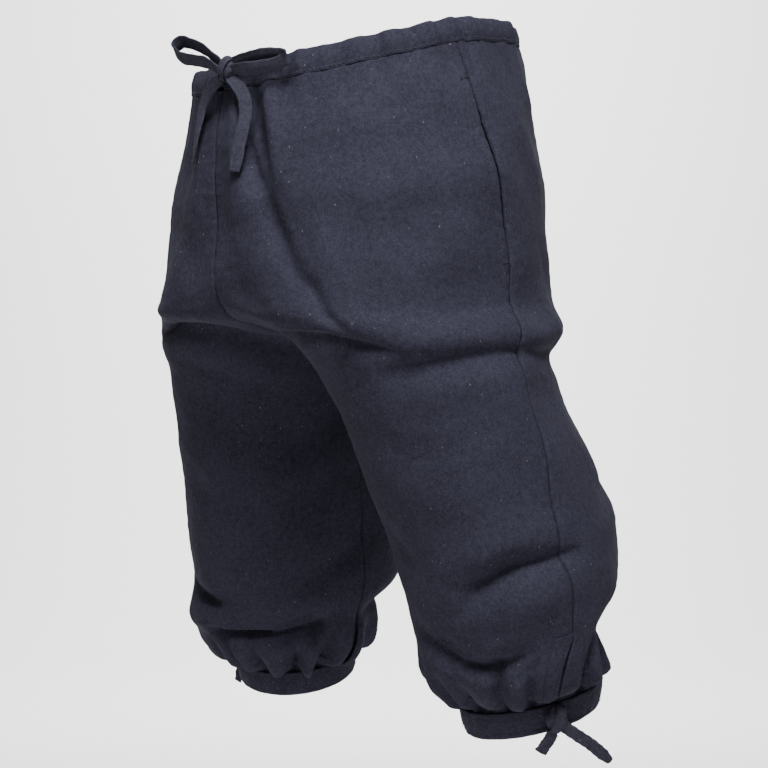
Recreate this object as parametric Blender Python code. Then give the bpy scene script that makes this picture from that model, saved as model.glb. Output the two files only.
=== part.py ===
"""Worn knee breeches with a drawstring waist, side pockets and gathered knee bands.

Everything is in metres. The wearer faces -Y, the wearer's left is +X and +Z is up. The origin is the
middle of the waist, at the height of the casing's top edge over the side seams.

The cloth is one smooth form. Each half of the garment is a stack of half-oval sections, from the waist
down to the hem of one knee band. A point of it is named by
  down   0 at the top of the waist casing, 1 at the hem of the knee band
  angle  0 at the outer side, -90 degrees at the front, +90 degrees at the back, 180 at the inner leg
Gathers and folds push that point out or in along the form's normal. Every piece of cloth is a wall
between two such surfaces, so neighbours share their folds.
"""
from collections import namedtuple

import bmesh
import bpy
import numpy as np

# Cloth and sewing sizes
WALL = 0.0020           # fulled wool, one layer
SEAM_GAP = 0.0003       # between neighbouring pieces
SIDE_LENGTH = 0.664     # from the top of the casing to the hem of the knee band

# Where the pieces meet, as values of down
CASING_HEM = 0.0362
PANEL_TOP = 0.0367
PANEL_HEM = 0.9592
BAND_TOP = 0.9597
POCKET_TOP, POCKET_END = 0.085, 0.345
SLIT_TOP = 0.862
FOLDS_START, FOLDS_FADE = 0.022, 0.040     # the casing has gathers, and no large folds
HEM_FADE_START, HEM_FADE_END = 0.944, 0.9582   # the gathers draw in to the smooth knee band
CENTRE_CALM = 0.020     # metres from the middle within which folds move no point sideways
CENTRE_SHARED = 0.045   # metres from the middle within which the two halves share their folds

# Gathers of each quarter of the garment, at the waist and at the knee. Where they start, and how far
# they take to fade or grow, are values of down; beside the bow and the slit, shares of the quarter.
WAIST_GATHERS = 7
WAIST_GATHER_DEPTH = 0.0019
WAIST_GATHER_START, WAIST_GATHER_FADE = 0.030, 0.045
BOW_CLEAR_START, BOW_CLEAR_FADE = 0.86, 0.10
KNEE_GATHERS = 7
KNEE_GATHER_DEPTH = 0.0042
KNEE_GATHER_START, KNEE_GATHER_GROWTH = 0.860, 0.075
SLIT_CLEAR_START, SLIT_CLEAR_FADE = 0.04, 0.12
GATHER_WANDER = (0.035, 0.020)      # how unevenly they are spaced, in one slow and one quick wave
GATHER_UNEVENNESS = 0.35

# The openings in the side seam: half their width, and how far the pocket's front edge stands off
POCKET_HALF_GAPE = 0.0005
SLIT_HALF_GAPE = 0.0014
POCKET_EDGE_RISE, POCKET_EDGE_REACH = 0.0016, 0.014

# Thin pieces: the pocket bag's upper layer and the turned edge of the knee slit
POCKET_WALL, POCKET_BEHIND = 0.0012, 0.0011
POCKET_TOP_ROW = 0.100
POCKET_COLUMNS = 4
SLIT_HEM_WALL = 0.0011
SLIT_HEM_COLUMNS = 2

# Columns of each quarter, where it is gathered and where it is smooth
FINE, COARSE = 24, 12

# The sections: drop is the height of the section's middle, half_width runs to the side, front and back
# are its depths, pitch and roll tilt it (rise for each metre to the back and to the outer side), and
# skew turns the leg's section outwards.
Section = namedtuple("Section", "down drop centre_x centre_y half_width front back pitch roll skew")
SECTIONS = [
    Section(0.000, 0.000, 0.0000, 0.004, 0.1630, 0.150, 0.158, 0.27, 0.00, 0.00),
    Section(0.040, -0.026, 0.0000, 0.004, 0.1680, 0.154, 0.164, 0.27, 0.00, 0.00),
    Section(0.140, -0.095, 0.0000, 0.003, 0.1880, 0.162, 0.176, 0.20, 0.00, 0.00),
    Section(0.250, -0.166, 0.0000, 0.002, 0.2050, 0.166, 0.182, 0.10, 0.00, 0.00),
    Section(0.330, -0.219, 0.0140, 0.001, 0.1960, 0.165, 0.182, 0.04, 0.00, 0.01),
    Section(0.400, -0.266, 0.0600, 0.000, 0.1530, 0.154, 0.175, 0.03, 0.00, 0.03),
    Section(0.450, -0.298, 0.1167, 0.003, 0.1165, 0.134, 0.148, 0.03, 0.00, 0.06),
    Section(0.500, -0.331, 0.1280, 0.011, 0.1080, 0.121, 0.119, 0.04, 0.01, 0.10),
    Section(0.560, -0.370, 0.1390, 0.022, 0.1050, 0.118, 0.111, 0.06, 0.03, 0.12),
    Section(0.660, -0.435, 0.1500, 0.039, 0.1060, 0.118, 0.115, 0.10, 0.06, 0.12),
    Section(0.760, -0.500, 0.1590, 0.052, 0.1060, 0.115, 0.111, 0.14, 0.08, 0.12),
    Section(0.830, -0.548, 0.1650, 0.057, 0.1040, 0.111, 0.098, 0.18, 0.10, 0.12),
    Section(0.880, -0.582, 0.1700, 0.058, 0.1000, 0.106, 0.078, 0.20, 0.10, 0.12),
    Section(0.925, -0.613, 0.1740, 0.059, 0.0910, 0.092, 0.074, 0.20, 0.12, 0.10),
    Section(0.945, -0.627, 0.1750, 0.060, 0.0830, 0.083, 0.075, 0.20, 0.12, 0.06),
    Section(0.951, -0.631, 0.1750, 0.061, 0.0745, 0.075, 0.071, 0.20, 0.12, 0.02),
    Section(0.9555, -0.634, 0.1750, 0.062, 0.0672, 0.067, 0.066, 0.20, 0.12, 0.00),
    Section(0.960, -0.637, 0.1750, 0.062, 0.0660, 0.066, 0.065, 0.20, 0.12, 0.00),
    Section(1.000, -0.664, 0.1740, 0.064, 0.0620, 0.062, 0.062, 0.20, 0.12, 0.00),
]
# The back of the waist lies flatter than its front, which dips.
BACK_FLATTENING = 0.175
BACK_FLATTENING_END = 0.30
# The stance: the left leg stands a little out, back and up, and the right one the other way.
STANCE = (0.012, 0.014, 0.0055)
STANCE_START, STANCE_LENGTH = 0.45, 0.45

# The side seam wanders round the leg, as it is worn.
SeamPoint = namedtuple("SeamPoint", "down degrees")
SIDE_SEAM = [
    SeamPoint(0.00, -4), SeamPoint(0.10, 1), SeamPoint(0.25, 6), SeamPoint(0.38, 11),
    SeamPoint(0.50, 10), SeamPoint(0.60, 4), SeamPoint(0.70, -5), SeamPoint(0.78, -9),
    SeamPoint(0.86, -9), SeamPoint(0.90, -15), SeamPoint(0.935, -21), SeamPoint(0.96, -24),
    SeamPoint(1.00, -25),
]

# The large folds. side is 1 for the wearer's left, -1 for the right and 0 for both. Each runs between
# two points, angles in degrees; reach is how far it spreads, and rise is its height, less than 0 for
# a trough.
Fold = namedtuple("Fold", "side from_angle from_down to_angle to_down reach rise")
FOLDS = [
    # below the bow
    Fold(1, -75, 0.03, -66, 0.19, 0.011, -0.0060),
    Fold(1, -82, 0.03, -76, 0.25, 0.014, 0.0050),
    Fold(1, -66, 0.03, -58, 0.17, 0.012, 0.0035),
    Fold(-1, -82, 0.04, -82, 0.22, 0.014, 0.0045),
    Fold(-1, -72, 0.03, -75, 0.16, 0.012, -0.0050),
    Fold(0, -90, 0.16, -88, 0.36, 0.026, -0.0070),
    # the rise hangs over the tops of the legs
    Fold(-1, -72, 0.38, -104, 0.395, 0.021, 0.0095),
    Fold(-1, -104, 0.395, -150, 0.430, 0.017, 0.0080),
    Fold(-1, -66, 0.428, -106, 0.440, 0.012, -0.0100),
    Fold(-1, -106, 0.440, -150, 0.470, 0.012, -0.0080),
    Fold(1, -52, 0.40, -92, 0.425, 0.021, 0.0075),
    Fold(1, -48, 0.452, -84, 0.462, 0.014, -0.0080),
    Fold(1, -56, 0.492, 4, 0.464, 0.015, -0.0055),
    Fold(1, -48, 0.520, 0, 0.496, 0.020, 0.0040),
    Fold(1, 4, 0.464, 50, 0.478, 0.014, -0.0040),
    # under the seat
    Fold(0, 60, 0.430, 125, 0.420, 0.026, 0.0030),
    Fold(0, 55, 0.482, 130, 0.470, 0.017, -0.0055),
    Fold(-1, -15, 0.470, 48, 0.486, 0.013, -0.0060),
    Fold(0, 70, 0.545, 125, 0.520, 0.014, -0.0040),
    # over the left knee
    Fold(1, -62, 0.745, -22, 0.722, 0.018, 0.0050),
    Fold(1, -60, 0.787, -36, 0.757, 0.011, -0.0065),
    Fold(1, -36, 0.757, -6, 0.757, 0.011, -0.0055),
    Fold(1, -64, 0.820, -14, 0.800, 0.018, 0.0060),
    Fold(1, -100, 0.835, -66, 0.882, 0.012, -0.0085),
    Fold(1, -66, 0.882, -42, 0.872, 0.011, -0.0060),
    Fold(1, -165, 0.940, -105, 0.940, 0.016, -0.0090),
    # over the right knee
    Fold(-1, -64, 0.836, -96, 0.842, 0.011, -0.0095),
    Fold(-1, -52, 0.872, -88, 0.868, 0.016, 0.0095),
    Fold(-1, -96, 0.874, -145, 0.868, 0.012, -0.0100),
    Fold(-1, -100, 0.905, -150, 0.900, 0.016, 0.0060),
    Fold(-1, -150, 0.800, -178, 0.760, 0.016, -0.0050),
    # round the back of the knees
    Fold(0, 15, 0.750, 50, 0.725, 0.016, 0.0045),
    Fold(0, 22, 0.878, 100, 0.868, 0.016, -0.0090),
    Fold(0, 5, 0.905, 80, 0.905, 0.034, -0.0130),
    Fold(0, 90, 0.820, 150, 0.840, 0.016, 0.0050),
    Fold(0, 110, 0.872, 165, 0.880, 0.013, -0.0060),
    Fold(0, 60, 0.650, 120, 0.690, 0.016, -0.0035),
    Fold(0, 185, 0.560, 225, 0.640, 0.015, -0.0035),
]

# Drawstring and knee ties: folded strips of the same wool
TAPE_WIDTH = 0.0115
TAPE_THICKNESS = 0.0026
TAPE_STEP = 0.0075       # between the columns along a strand
TAPE_OUTLINE = [(0.5, 0.0), (0.34, 0.5), (-0.34, 0.5), (-0.5, 0.0), (-0.34, -0.5), (0.34, -0.5)]
TAPE_NARROWING = [0.0, 0.16, 0.84, 1.0]     # shares of a strand's length over which its ends narrow
TIE_WIDTH = 0.0110
KNOT_SEGMENTS, KNOT_RINGS = 10, 7
Knot = namedtuple("Knot", "centre semi_axes")
BOW_KNOT = Knot((0.0242, -0.1593, -0.0469), (0.0095, 0.0066, 0.0098))
# A strand: its route, the direction of its width, and the share of its width left at each end.
Strand = namedtuple("Strand", "route width_direction start_share end_share")
BOW = {
    "bow_lead_left": Strand(
        [(0.0062, -0.1452, -0.0552), (0.0048, -0.1456, -0.0551), (0.0040, -0.1478, -0.0540),
         (0.0062, -0.1513, -0.0522), (0.0125, -0.1532, -0.0505), (0.0190, -0.1524, -0.0500)],
        (0.0, 0.0, 1.0), 0.90, 0.55),
    "bow_lead_right": Strand(
        [(-0.0062, -0.1452, -0.0552), (-0.0048, -0.1456, -0.0551), (-0.0028, -0.1480, -0.0540),
         (-0.0010, -0.1530, -0.0520), (0.0050, -0.1568, -0.0503), (0.0143, -0.1570, -0.0482)],
        (0.0, 0.0, 1.0), 0.90, 0.50),
    "bow_loop_right": Strand(
        [(0.0155, -0.1601, -0.0413), (0.0043, -0.1620, -0.0345), (-0.0066, -0.1640, -0.0268),
         (-0.0219, -0.1678, -0.0196), (-0.0346, -0.1733, -0.0166), (-0.0388, -0.1774, -0.0231),
         (-0.0298, -0.1762, -0.0317), (-0.0152, -0.1708, -0.0358), (-0.0022, -0.1657, -0.0392),
         (0.0148, -0.1623, -0.0486)],
        (0.30, -0.81, 0.50), 0.50, 0.50),
    "bow_loop_left": Strand(
        [(0.0331, -0.1577, -0.0422), (0.0453, -0.1521, -0.0401), (0.0593, -0.1471, -0.0386),
         (0.0748, -0.1411, -0.0386), (0.0905, -0.1376, -0.0434), (0.0817, -0.1436, -0.0501),
         (0.0656, -0.1513, -0.0525), (0.0502, -0.1564, -0.0525), (0.0342, -0.1598, -0.0498)],
        (0.17, -0.60, 0.78), 0.50, 0.50),
    "bow_tail_right": Strand(
        [(0.0194, -0.1620, -0.0553), (0.0065, -0.1625, -0.0604), (-0.0075, -0.1614, -0.0686),
         (-0.0162, -0.1611, -0.0789), (-0.0197, -0.1623, -0.0919), (-0.0227, -0.1639, -0.1078),
         (-0.0263, -0.1651, -0.1312)],
        (0.50, 0.60, -0.55), 0.50, 0.85),
    "bow_tail_left": Strand(
        [(0.0301, -0.1599, -0.0554), (0.0397, -0.1568, -0.0650), (0.0465, -0.1547, -0.0775),
         (0.0483, -0.1548, -0.0904), (0.0483, -0.1582, -0.1053), (0.0468, -0.1611, -0.1209),
         (0.0446, -0.1646, -0.1447)],
        (0.88, 0.45, 0.05), 0.50, 1.10),
}
# The knee ties, in the frame of each knee knot: back along the band, out from it, and up.
TIE_KNOT_AXES = (0.0085, 0.0060, 0.0110)
TIE_KNOT_DOWN = 0.978
TIE_KNOT_LIFT = 0.0077
TIES = {
    "knee_tie_long": Strand(
        [(0.0055, 0.0025, -0.0085), (0.0135, 0.006, -0.017), (0.024, 0.009, -0.028),
         (0.034, 0.010, -0.041), (0.042, 0.009, -0.053)],
        (0.70, 0.10, 0.68), 0.70, 0.65),
    "knee_tie_short": Strand(
        [(-0.0048, 0.0019, -0.0096), (-0.010, 0.003, -0.0155), (-0.0155, 0.003, -0.021),
         (-0.021, 0.002, -0.027)],
        (0.75, 0.10, -0.65), 0.60, 1.10),
}

# Finishes: sRGB colour, roughness
WOOL_COLOUR = "3a3b47"
WOOL_DARK = "30303a"
WOOL_ROUGHNESS = 0.92


def srgb_to_linear(hex_colour):
    """Turn a hex colour into the linear RGBA that a shader takes."""
    channels = [int(hex_colour[i:i + 2], 16) / 255 for i in (0, 2, 4)]
    return [c / 12.92 if c < 0.04045 else ((c + 0.055) / 1.055) ** 2.4 for c in channels] + [1.0]


def wool(name, hex_colour):
    """A plain matt wool material."""
    material = bpy.data.materials.new(name)
    material.use_nodes = True
    shader = material.node_tree.nodes["Principled BSDF"]
    shader.inputs["Base Color"].default_value = srgb_to_linear(hex_colour)
    shader.inputs["Roughness"].default_value = WOOL_ROUGHNESS
    shader.inputs["Metallic"].default_value = 0.0
    return material


# Reading the tables

def read(table, column, down):
    """A smooth curve through a table's column: cubic pieces whose slopes never overshoot."""
    x = np.array([row.down for row in table])
    y = np.array([getattr(row, column) for row in table], float)
    step = np.diff(x)
    rise = np.diff(y) / step
    slope = np.zeros(len(x))
    same_way = rise[:-1] * rise[1:] > 0
    slope[1:-1][same_way] = (2 * rise[:-1] * rise[1:] / (rise[:-1] + rise[1:] + 1e-12))[same_way]
    slope[0], slope[-1] = rise[0], rise[-1]
    i = np.clip(np.searchsorted(x, down, side="right") - 1, 0, len(step) - 1)
    t = (down - x[i]) / step[i]
    return ((2 * t ** 3 - 3 * t ** 2 + 1) * y[i] + (t ** 3 - 2 * t ** 2 + t) * step[i] * slope[i]
            + (3 * t ** 2 - 2 * t ** 3) * y[i + 1] + (t ** 3 - t ** 2) * step[i] * slope[i + 1])


def smooth_step(t):
    """0 below 0, 1 above 1, and a smooth rise between."""
    t = np.clip(t, 0, 1)
    return t * t * (3 - 2 * t)


def seam_angle(down):
    """Angle of the side seam, in radians."""
    return np.radians(read(SIDE_SEAM, "degrees", down))


def edge_angle(down):
    """Angle where a half ends: at the centre seams above the crotch, at the inseam below it."""
    centre, half_width = read(SECTIONS, "centre_x", down), read(SECTIONS, "half_width", down)
    to_centre = np.arccos(np.clip((SEAM_GAP / 2 - centre) / half_width, -1, 1))
    return np.minimum(to_centre, np.pi - SEAM_GAP / 2 / read(SECTIONS, "front", down))


# The form

def form(side, down, angle):
    """The smooth form of one half, without folds."""
    centre_x, centre_y = read(SECTIONS, "centre_x", down), read(SECTIONS, "centre_y", down)
    half_width = read(SECTIONS, "half_width", down)
    depth = np.where(angle < 0, read(SECTIONS, "front", down), read(SECTIONS, "back", down))
    depth = np.where(np.abs(angle) > np.pi, read(SECTIONS, "front", down), depth)
    out = half_width * np.cos(angle)
    back = depth * np.sin(angle) - read(SECTIONS, "skew", down) * out
    lift = read(SECTIONS, "pitch", down) * back + read(SECTIONS, "roll", down) * out
    flattening = BACK_FLATTENING * np.clip(1 - down / BACK_FLATTENING_END, 0, 1)
    y = centre_y + back
    z = read(SECTIONS, "drop", down) + lift - flattening * np.maximum(y, 0)
    stance = side * smooth_step((down - STANCE_START) / STANCE_LENGTH)
    return np.stack([side * (centre_x + out + stance * STANCE[0]),
                     y + stance * STANCE[1], z + stance * STANCE[2]], -1)


def outward(surface, side, down, angle):
    """Outward normals of a surface(side, down, angle), from small steps each way."""
    d_down, d_angle = 2e-4, 3e-4
    along_down = surface(side, down + d_down, angle) - surface(side, down - d_down, angle)
    along_angle = surface(side, down, angle + d_angle) - surface(side, down, angle - d_angle)
    normal = side * np.cross(along_down, along_angle)
    return normal / np.linalg.norm(normal, axis=-1, keepdims=True)


def half_folds(side, down, angle):
    """Sum of one half's folds: each is a soft ridge or trough along a straight run over the cloth."""
    radius = (read(SECTIONS, "half_width", down) + read(SECTIONS, "front", down)) / 2
    total = np.zeros(np.shape(down))
    for fold in FOLDS:
        if fold.side not in (0, side):
            continue
        start, end = np.radians(fold.from_angle), np.radians(fold.to_angle)
        middle = (start + end) / 2
        turned = middle + (angle - middle + np.pi) % (2 * np.pi) - np.pi
        run = np.array([(end - start) * np.mean(radius), (fold.to_down - fold.from_down) * SIDE_LENGTH])
        across = (turned - start) * radius
        along = (down - fold.from_down) * SIDE_LENGTH
        share = np.clip((across * run[0] + along * run[1]) / (run @ run), 0, 1)
        distance = np.hypot(across - share * run[0], along - share * run[1])
        fade = 0.45 + 0.55 * np.sin(np.pi * share)
        total += fold.rise * fade * np.exp(-(distance / fold.reach) ** 2)
    return total * smooth_step((down - FOLDS_START) / FOLDS_FADE)


def fold_rise(side, down, angle):
    """The folds of one half, shared with the other half beside the centre seams, where they join."""
    from_middle = side * form(side, down, angle)[..., 0] - SEAM_GAP / 2
    own_share = 0.5 + 0.5 * smooth_step(from_middle / CENTRE_SHARED)
    return own_share * half_folds(side, down, angle) + (1 - own_share) * half_folds(-side, down, angle)


def gather_rise(side, down, angle):
    """Gathers below the casing and above the knee band: waves across each quarter."""
    seam, edge = seam_angle(down), edge_angle(down)
    half = np.where(angle < seam, -1.0, 1.0)
    across = (angle - seam) / (half * edge - seam)
    wander = GATHER_WANDER[0] * np.sin(2 * np.pi * across) + GATHER_WANDER[1] * np.sin(6 * np.pi * across)
    waist = np.cos(2 * np.pi * WAIST_GATHERS * (across + wander))
    uneven = 1 + GATHER_UNEVENNESS * np.sin(3 * np.pi * across + 1.3 * side + half)
    below_casing = np.maximum(down - WAIST_GATHER_START, 0) / WAIST_GATHER_FADE
    at_bow = np.where(half < 0, smooth_step((across - BOW_CLEAR_START) / BOW_CLEAR_FADE), 0.0)
    waist_depth = WAIST_GATHER_DEPTH * np.exp(-below_casing ** 2) * (1 - at_bow)
    knee = np.cos(2 * np.pi * KNEE_GATHERS * (across - wander))
    uneven_knee = 0.8 + GATHER_UNEVENNESS * np.sin(3 * np.pi * across + 0.7 * side - half)
    growth = smooth_step((down - KNEE_GATHER_START) / KNEE_GATHER_GROWTH)
    clear_of_slit = smooth_step((across - SLIT_CLEAR_START) / SLIT_CLEAR_FADE)
    return waist_depth * uneven * waist + KNEE_GATHER_DEPTH * growth * clear_of_slit * uneven_knee * knee


def mouth_rise(down, angle):
    """The front edge of the pocket's mouth stands a little off the body."""
    share = np.clip((down - POCKET_TOP) / (POCKET_END - POCKET_TOP), 0, 1)
    seam = seam_angle(down)
    distance = (seam - angle) * read(SECTIONS, "front", down)
    rise = POCKET_EDGE_RISE * np.sin(np.pi * share) * np.exp(-(distance / POCKET_EDGE_REACH) ** 2)
    return np.where(angle < seam, rise, 0.0)


def folded(side, down, angle):
    """The outer face of the cloth, with its folds and gathers. At the centre seams they move no
    point sideways, so that the two halves still meet there."""
    rise = fold_rise(side, down, angle) + gather_rise(side, down, angle) + mouth_rise(down, angle)
    rise = rise * (1 - smooth_step((down - HEM_FADE_START) / (HEM_FADE_END - HEM_FADE_START)))
    point = form(side, down, angle)
    shift = outward(form, side, down, angle) * rise[..., None]
    shift[..., 0] *= smooth_step((side * point[..., 0] - SEAM_GAP / 2) / CENTRE_CALM)
    return point + shift


def cloth(side, down, angle, lift):
    """A point lifted off the outer face of the cloth, kept on its own side of the middle."""
    point = folded(side, down, angle) + outward(folded, side, down, angle) * np.asarray(lift)[..., None]
    point[..., 0] = side * np.maximum(side * point[..., 0], SEAM_GAP / 2)
    return point


# Meshes

def add_object(name, vertices, faces, material):
    """Put a closed mesh into the breeches' collection, its faces pointing out."""
    mesh = bpy.data.meshes.new(name)
    mesh.from_pydata([tuple(v) for v in vertices], [], faces)
    work = bmesh.new()
    work.from_mesh(mesh)
    bmesh.ops.recalc_face_normals(work, faces=work.faces)
    work.to_mesh(mesh)
    work.free()
    mesh.shade_smooth()
    mesh.materials.append(material)
    piece = bpy.data.objects.new(name, mesh)
    BREECHES.objects.link(piece)
    return piece


def grid_faces(rows):
    """Faces between rows of point numbers. A row may hold twice the columns of the next."""
    faces = []
    for upper, lower in zip(rows[:-1], rows[1:]):
        if len(upper) == len(lower):
            for i in range(len(upper) - 1):
                faces.append((upper[i], upper[i + 1], lower[i + 1], lower[i]))
            continue
        fine, coarse = (upper, lower) if len(upper) > len(lower) else (lower, upper)
        for i in range(len(coarse) - 1):
            left, middle, right = fine[2 * i:2 * i + 3]
            trio = [(left, middle, coarse[i]), (middle, coarse[i + 1], coarse[i]),
                    (middle, right, coarse[i + 1])]
            faces.extend(trio if fine is upper else [face[::-1] for face in trio])
    return faces


def wall(name, outer, inner, faces, material):
    """Close two matching surfaces into a wall, with a rim along every free edge."""
    count = len(outer)
    directed = {(face[i], face[(i + 1) % len(face)]) for face in faces for i in range(len(face))}
    rim = [(b, a, a + count, b + count) for a, b in sorted(directed) if (b, a) not in directed]
    inside = [tuple(i + count for i in reversed(face)) for face in faces]
    return add_object(name, np.concatenate([outer, inner]), faces + inside + rim, material)


def cloth_wall(name, side, rows, lift, thickness, material):
    """A wall of cloth over rows of (down, angles)."""
    numbers, outer, inner, count = [], [], [], 0
    for down, angles in rows:
        downs = np.full(len(angles), down)
        outer.append(cloth(side, downs, angles, np.full(len(angles), lift)))
        inner.append(cloth(side, downs, angles, np.full(len(angles), lift - thickness)))
        numbers.append(list(range(count, count + len(angles))))
        count += len(angles)
    return wall(name, np.concatenate(outer), np.concatenate(inner), grid_faces(numbers), material)


def ring_wall(name, columns, material):
    """A band: the closed outline of each column, joined round and capped at both ends."""
    count, size = len(columns), len(columns[0])
    vertices = np.concatenate(columns)
    faces = [tuple(range(size)), tuple(reversed(range((count - 1) * size, count * size)))]
    for c in range(count - 1):
        for i in range(size):
            j = (i + 1) % size
            faces.append((c * size + i, (c + 1) * size + i, (c + 1) * size + j, c * size + j))
    return add_object(name, vertices, faces, material)


# Panels

def mouth_gap(down):
    """Half width of the side seam's gap: wider along the pocket's mouth and the knee slit."""
    pocket = np.clip((down - POCKET_TOP) / (POCKET_END - POCKET_TOP), 0, 1)
    slit = np.clip((down - SLIT_TOP) / (PANEL_HEM - SLIT_TOP), 0, 1)
    gape = POCKET_HALF_GAPE * np.sin(np.pi * pocket) + SLIT_HALF_GAPE * np.sin(np.pi * slit) ** 0.7
    return SEAM_GAP / 2 + gape


def panel_angles(half, down, columns):
    """Angles of one row of a panel, from the side seam to the centre seam or inseam."""
    depth = read(SECTIONS, "front", np.array([down]))[0]
    start = seam_angle(np.array([down]))[0] + half * mouth_gap(down) / depth
    end = half * edge_angle(np.array([down]))[0]
    return start + (end - start) * np.linspace(0, 1, columns + 1)


FINE_TOP = [PANEL_TOP, 0.050, 0.068, 0.090, 0.118]
COARSE_MIDDLE = [0.150, 0.187, 0.224, 0.260, 0.292, 0.320, 0.346, 0.370, 0.391, 0.409, 0.424,
                 0.436, 0.445, 0.450, 0.460, 0.474, 0.494, 0.520, 0.560, 0.610, 0.665, 0.708,
                 0.738, 0.760, 0.783, 0.812, 0.840]
FINE_HEM = [SLIT_TOP, 0.882, 0.902, 0.920, 0.935, 0.9445, 0.951, 0.9555, PANEL_HEM]


def panel(name, side, half, material):
    """Front (half -1) or back (half 1) of one side, in one piece from the casing to the knee band."""
    rows = [(down, panel_angles(half, down, FINE)) for down in FINE_TOP]
    rows += [(down, panel_angles(half, down, COARSE)) for down in COARSE_MIDDLE]
    rows += [(down, panel_angles(half, down, FINE)) for down in FINE_HEM]
    return cloth_wall(name, side, rows, 0.0, WALL, material)


def ring_columns():
    """Sides and shares of a whole turn at the waist, from the front's left round the back."""
    shares = np.linspace(0, 1, FINE + 1)
    front_out = [(1, -1, u) for u in shares[::-1]]
    back_in = [(1, 1, u) for u in shares[1:]]
    back_out = [(-1, 1, u) for u in shares[::-1][1:]]
    front_in = [(-1, -1, u) for u in shares[1:]]
    return front_out + back_in + back_out + front_in


CASING_HALF_SLIT = 0.008    # the casing's two ends stop this far from the front's middle
# Outlines of a section, as (down, lift) points: over the top and down inside, and back up the channel
CASING_OUTLINE = [
    (CASING_HEM, 0.0008), (0.018, 0.0014), (0.003, 0.0006), (-0.0012, -0.0026), (0.003, -0.0058),
    (CASING_HEM, -0.0068), (CASING_HEM, -0.0053), (0.007, -0.0046), (0.007, -0.0010),
    (CASING_HEM, -0.0012),
]
DRAWSTRING_OUTLINE = [(0.013, -0.0017), (0.030, -0.0019), (0.030, -0.0041), (0.013, -0.0039)]


def waist_ring(name, outline, ring, half_slit, material):
    """A strip round the waist over the ring's columns, its ends clear of the front's middle."""
    columns = []
    downs = np.array([point[0] for point in outline])
    lifts = np.array([point[1] for point in outline])
    for side, half, share in ring:
        angles = np.array([seam_angle(d) + share * (half * edge_angle(d) - seam_angle(d))
                           for d in downs[:, None]])[:, 0]
        if half < 0 and share == 1:
            angles = angles + half_slit / read(SECTIONS, "half_width", downs)
        if half > 0 and share == 1:
            angles = np.full(len(downs), np.pi / 2)
        points = folded(side, downs, angles) + outward(form, side, downs, angles) * lifts[:, None]
        if half > 0 and share == 1:
            points[:, 0] = 0.0
        columns.append(points)
    return ring_wall(name, columns, material)


BAND_OUTLINE = [
    (BAND_TOP, 0.0012), (0.978, 0.0016), (0.994, 0.0012), (1.000, -0.0003), (0.997, -0.0018),
    (BAND_TOP, -0.0018),
]
BAND_COLUMNS = 44
BAND_HALF_GAP = 0.0022


def knee_band(name, side, material):
    """The doubled band that holds the gathers at the knee, open at the slit."""
    downs = np.array([point[0] for point in BAND_OUTLINE])
    lifts = np.array([point[1] for point in BAND_OUTLINE])
    seam = np.radians(read(SIDE_SEAM, "degrees", downs))
    gap = BAND_HALF_GAP / read(SECTIONS, "half_width", downs)
    columns = []
    for share in np.linspace(0, 1, BAND_COLUMNS + 1):
        angles = seam + gap + share * (2 * np.pi - 2 * gap)
        angles = np.where(angles > np.pi, angles - 2 * np.pi, angles)
        out = outward(form, side, np.full(len(downs), TIE_KNOT_DOWN), angles)
        columns.append(form(side, downs, angles) + out * lifts[:, None])
    return ring_wall(name, columns, material)


def slit_hem(name, side, material):
    """The turned edge of the knee slit, a narrow strip on the front panel's edge."""
    rows = [(down, panel_angles(-1, down, FINE)[:SLIT_HEM_COLUMNS + 1]) for down in FINE_HEM[:-1]]
    return cloth_wall(name, side, rows, SEAM_GAP + SLIT_HEM_WALL, SLIT_HEM_WALL, material)


def pocket(name, side, material):
    """The pocket bag's upper layer, hung inside the side seam behind the mouth."""
    rows = []
    for down in [POCKET_TOP_ROW, FINE_TOP[-1]] + COARSE_MIDDLE[:11]:
        front = panel_angles(-1, down, COARSE)[:POCKET_COLUMNS + 1][::-1]
        back = panel_angles(1, down, COARSE)[:2]
        rows.append((down, np.concatenate([front[:-1], back])))
    return cloth_wall(name, side, rows, -WALL - POCKET_BEHIND, POCKET_WALL, material)


# Strands and knots

def smooth_route(points, spacing):
    """A smooth curve through the points, read every so often along its length."""
    points = np.array(points, float)
    chord = np.concatenate([[0], np.cumsum(np.linalg.norm(np.diff(points, axis=0), axis=1) ** 0.5)])
    slope = np.gradient(points, chord, axis=0)
    fine = np.linspace(0, chord[-1], 400)
    i = np.clip(np.searchsorted(chord, fine, side="right") - 1, 0, len(chord) - 2)
    step = (chord[i + 1] - chord[i])[:, None]
    t = ((fine - chord[i]) / step[:, 0])[:, None]
    curve = ((2 * t ** 3 - 3 * t ** 2 + 1) * points[i] + (t ** 3 - 2 * t ** 2 + t) * step * slope[i]
             + (3 * t ** 2 - 2 * t ** 3) * points[i + 1] + (t ** 3 - t ** 2) * step * slope[i + 1])
    travelled = np.concatenate([[0], np.cumsum(np.linalg.norm(np.diff(curve, axis=0), axis=1))])
    stops = np.linspace(0, travelled[-1], max(int(round(travelled[-1] / spacing)), 6) + 1)
    return np.stack([np.interp(stops, travelled, curve[:, axis]) for axis in range(3)], -1)


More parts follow.
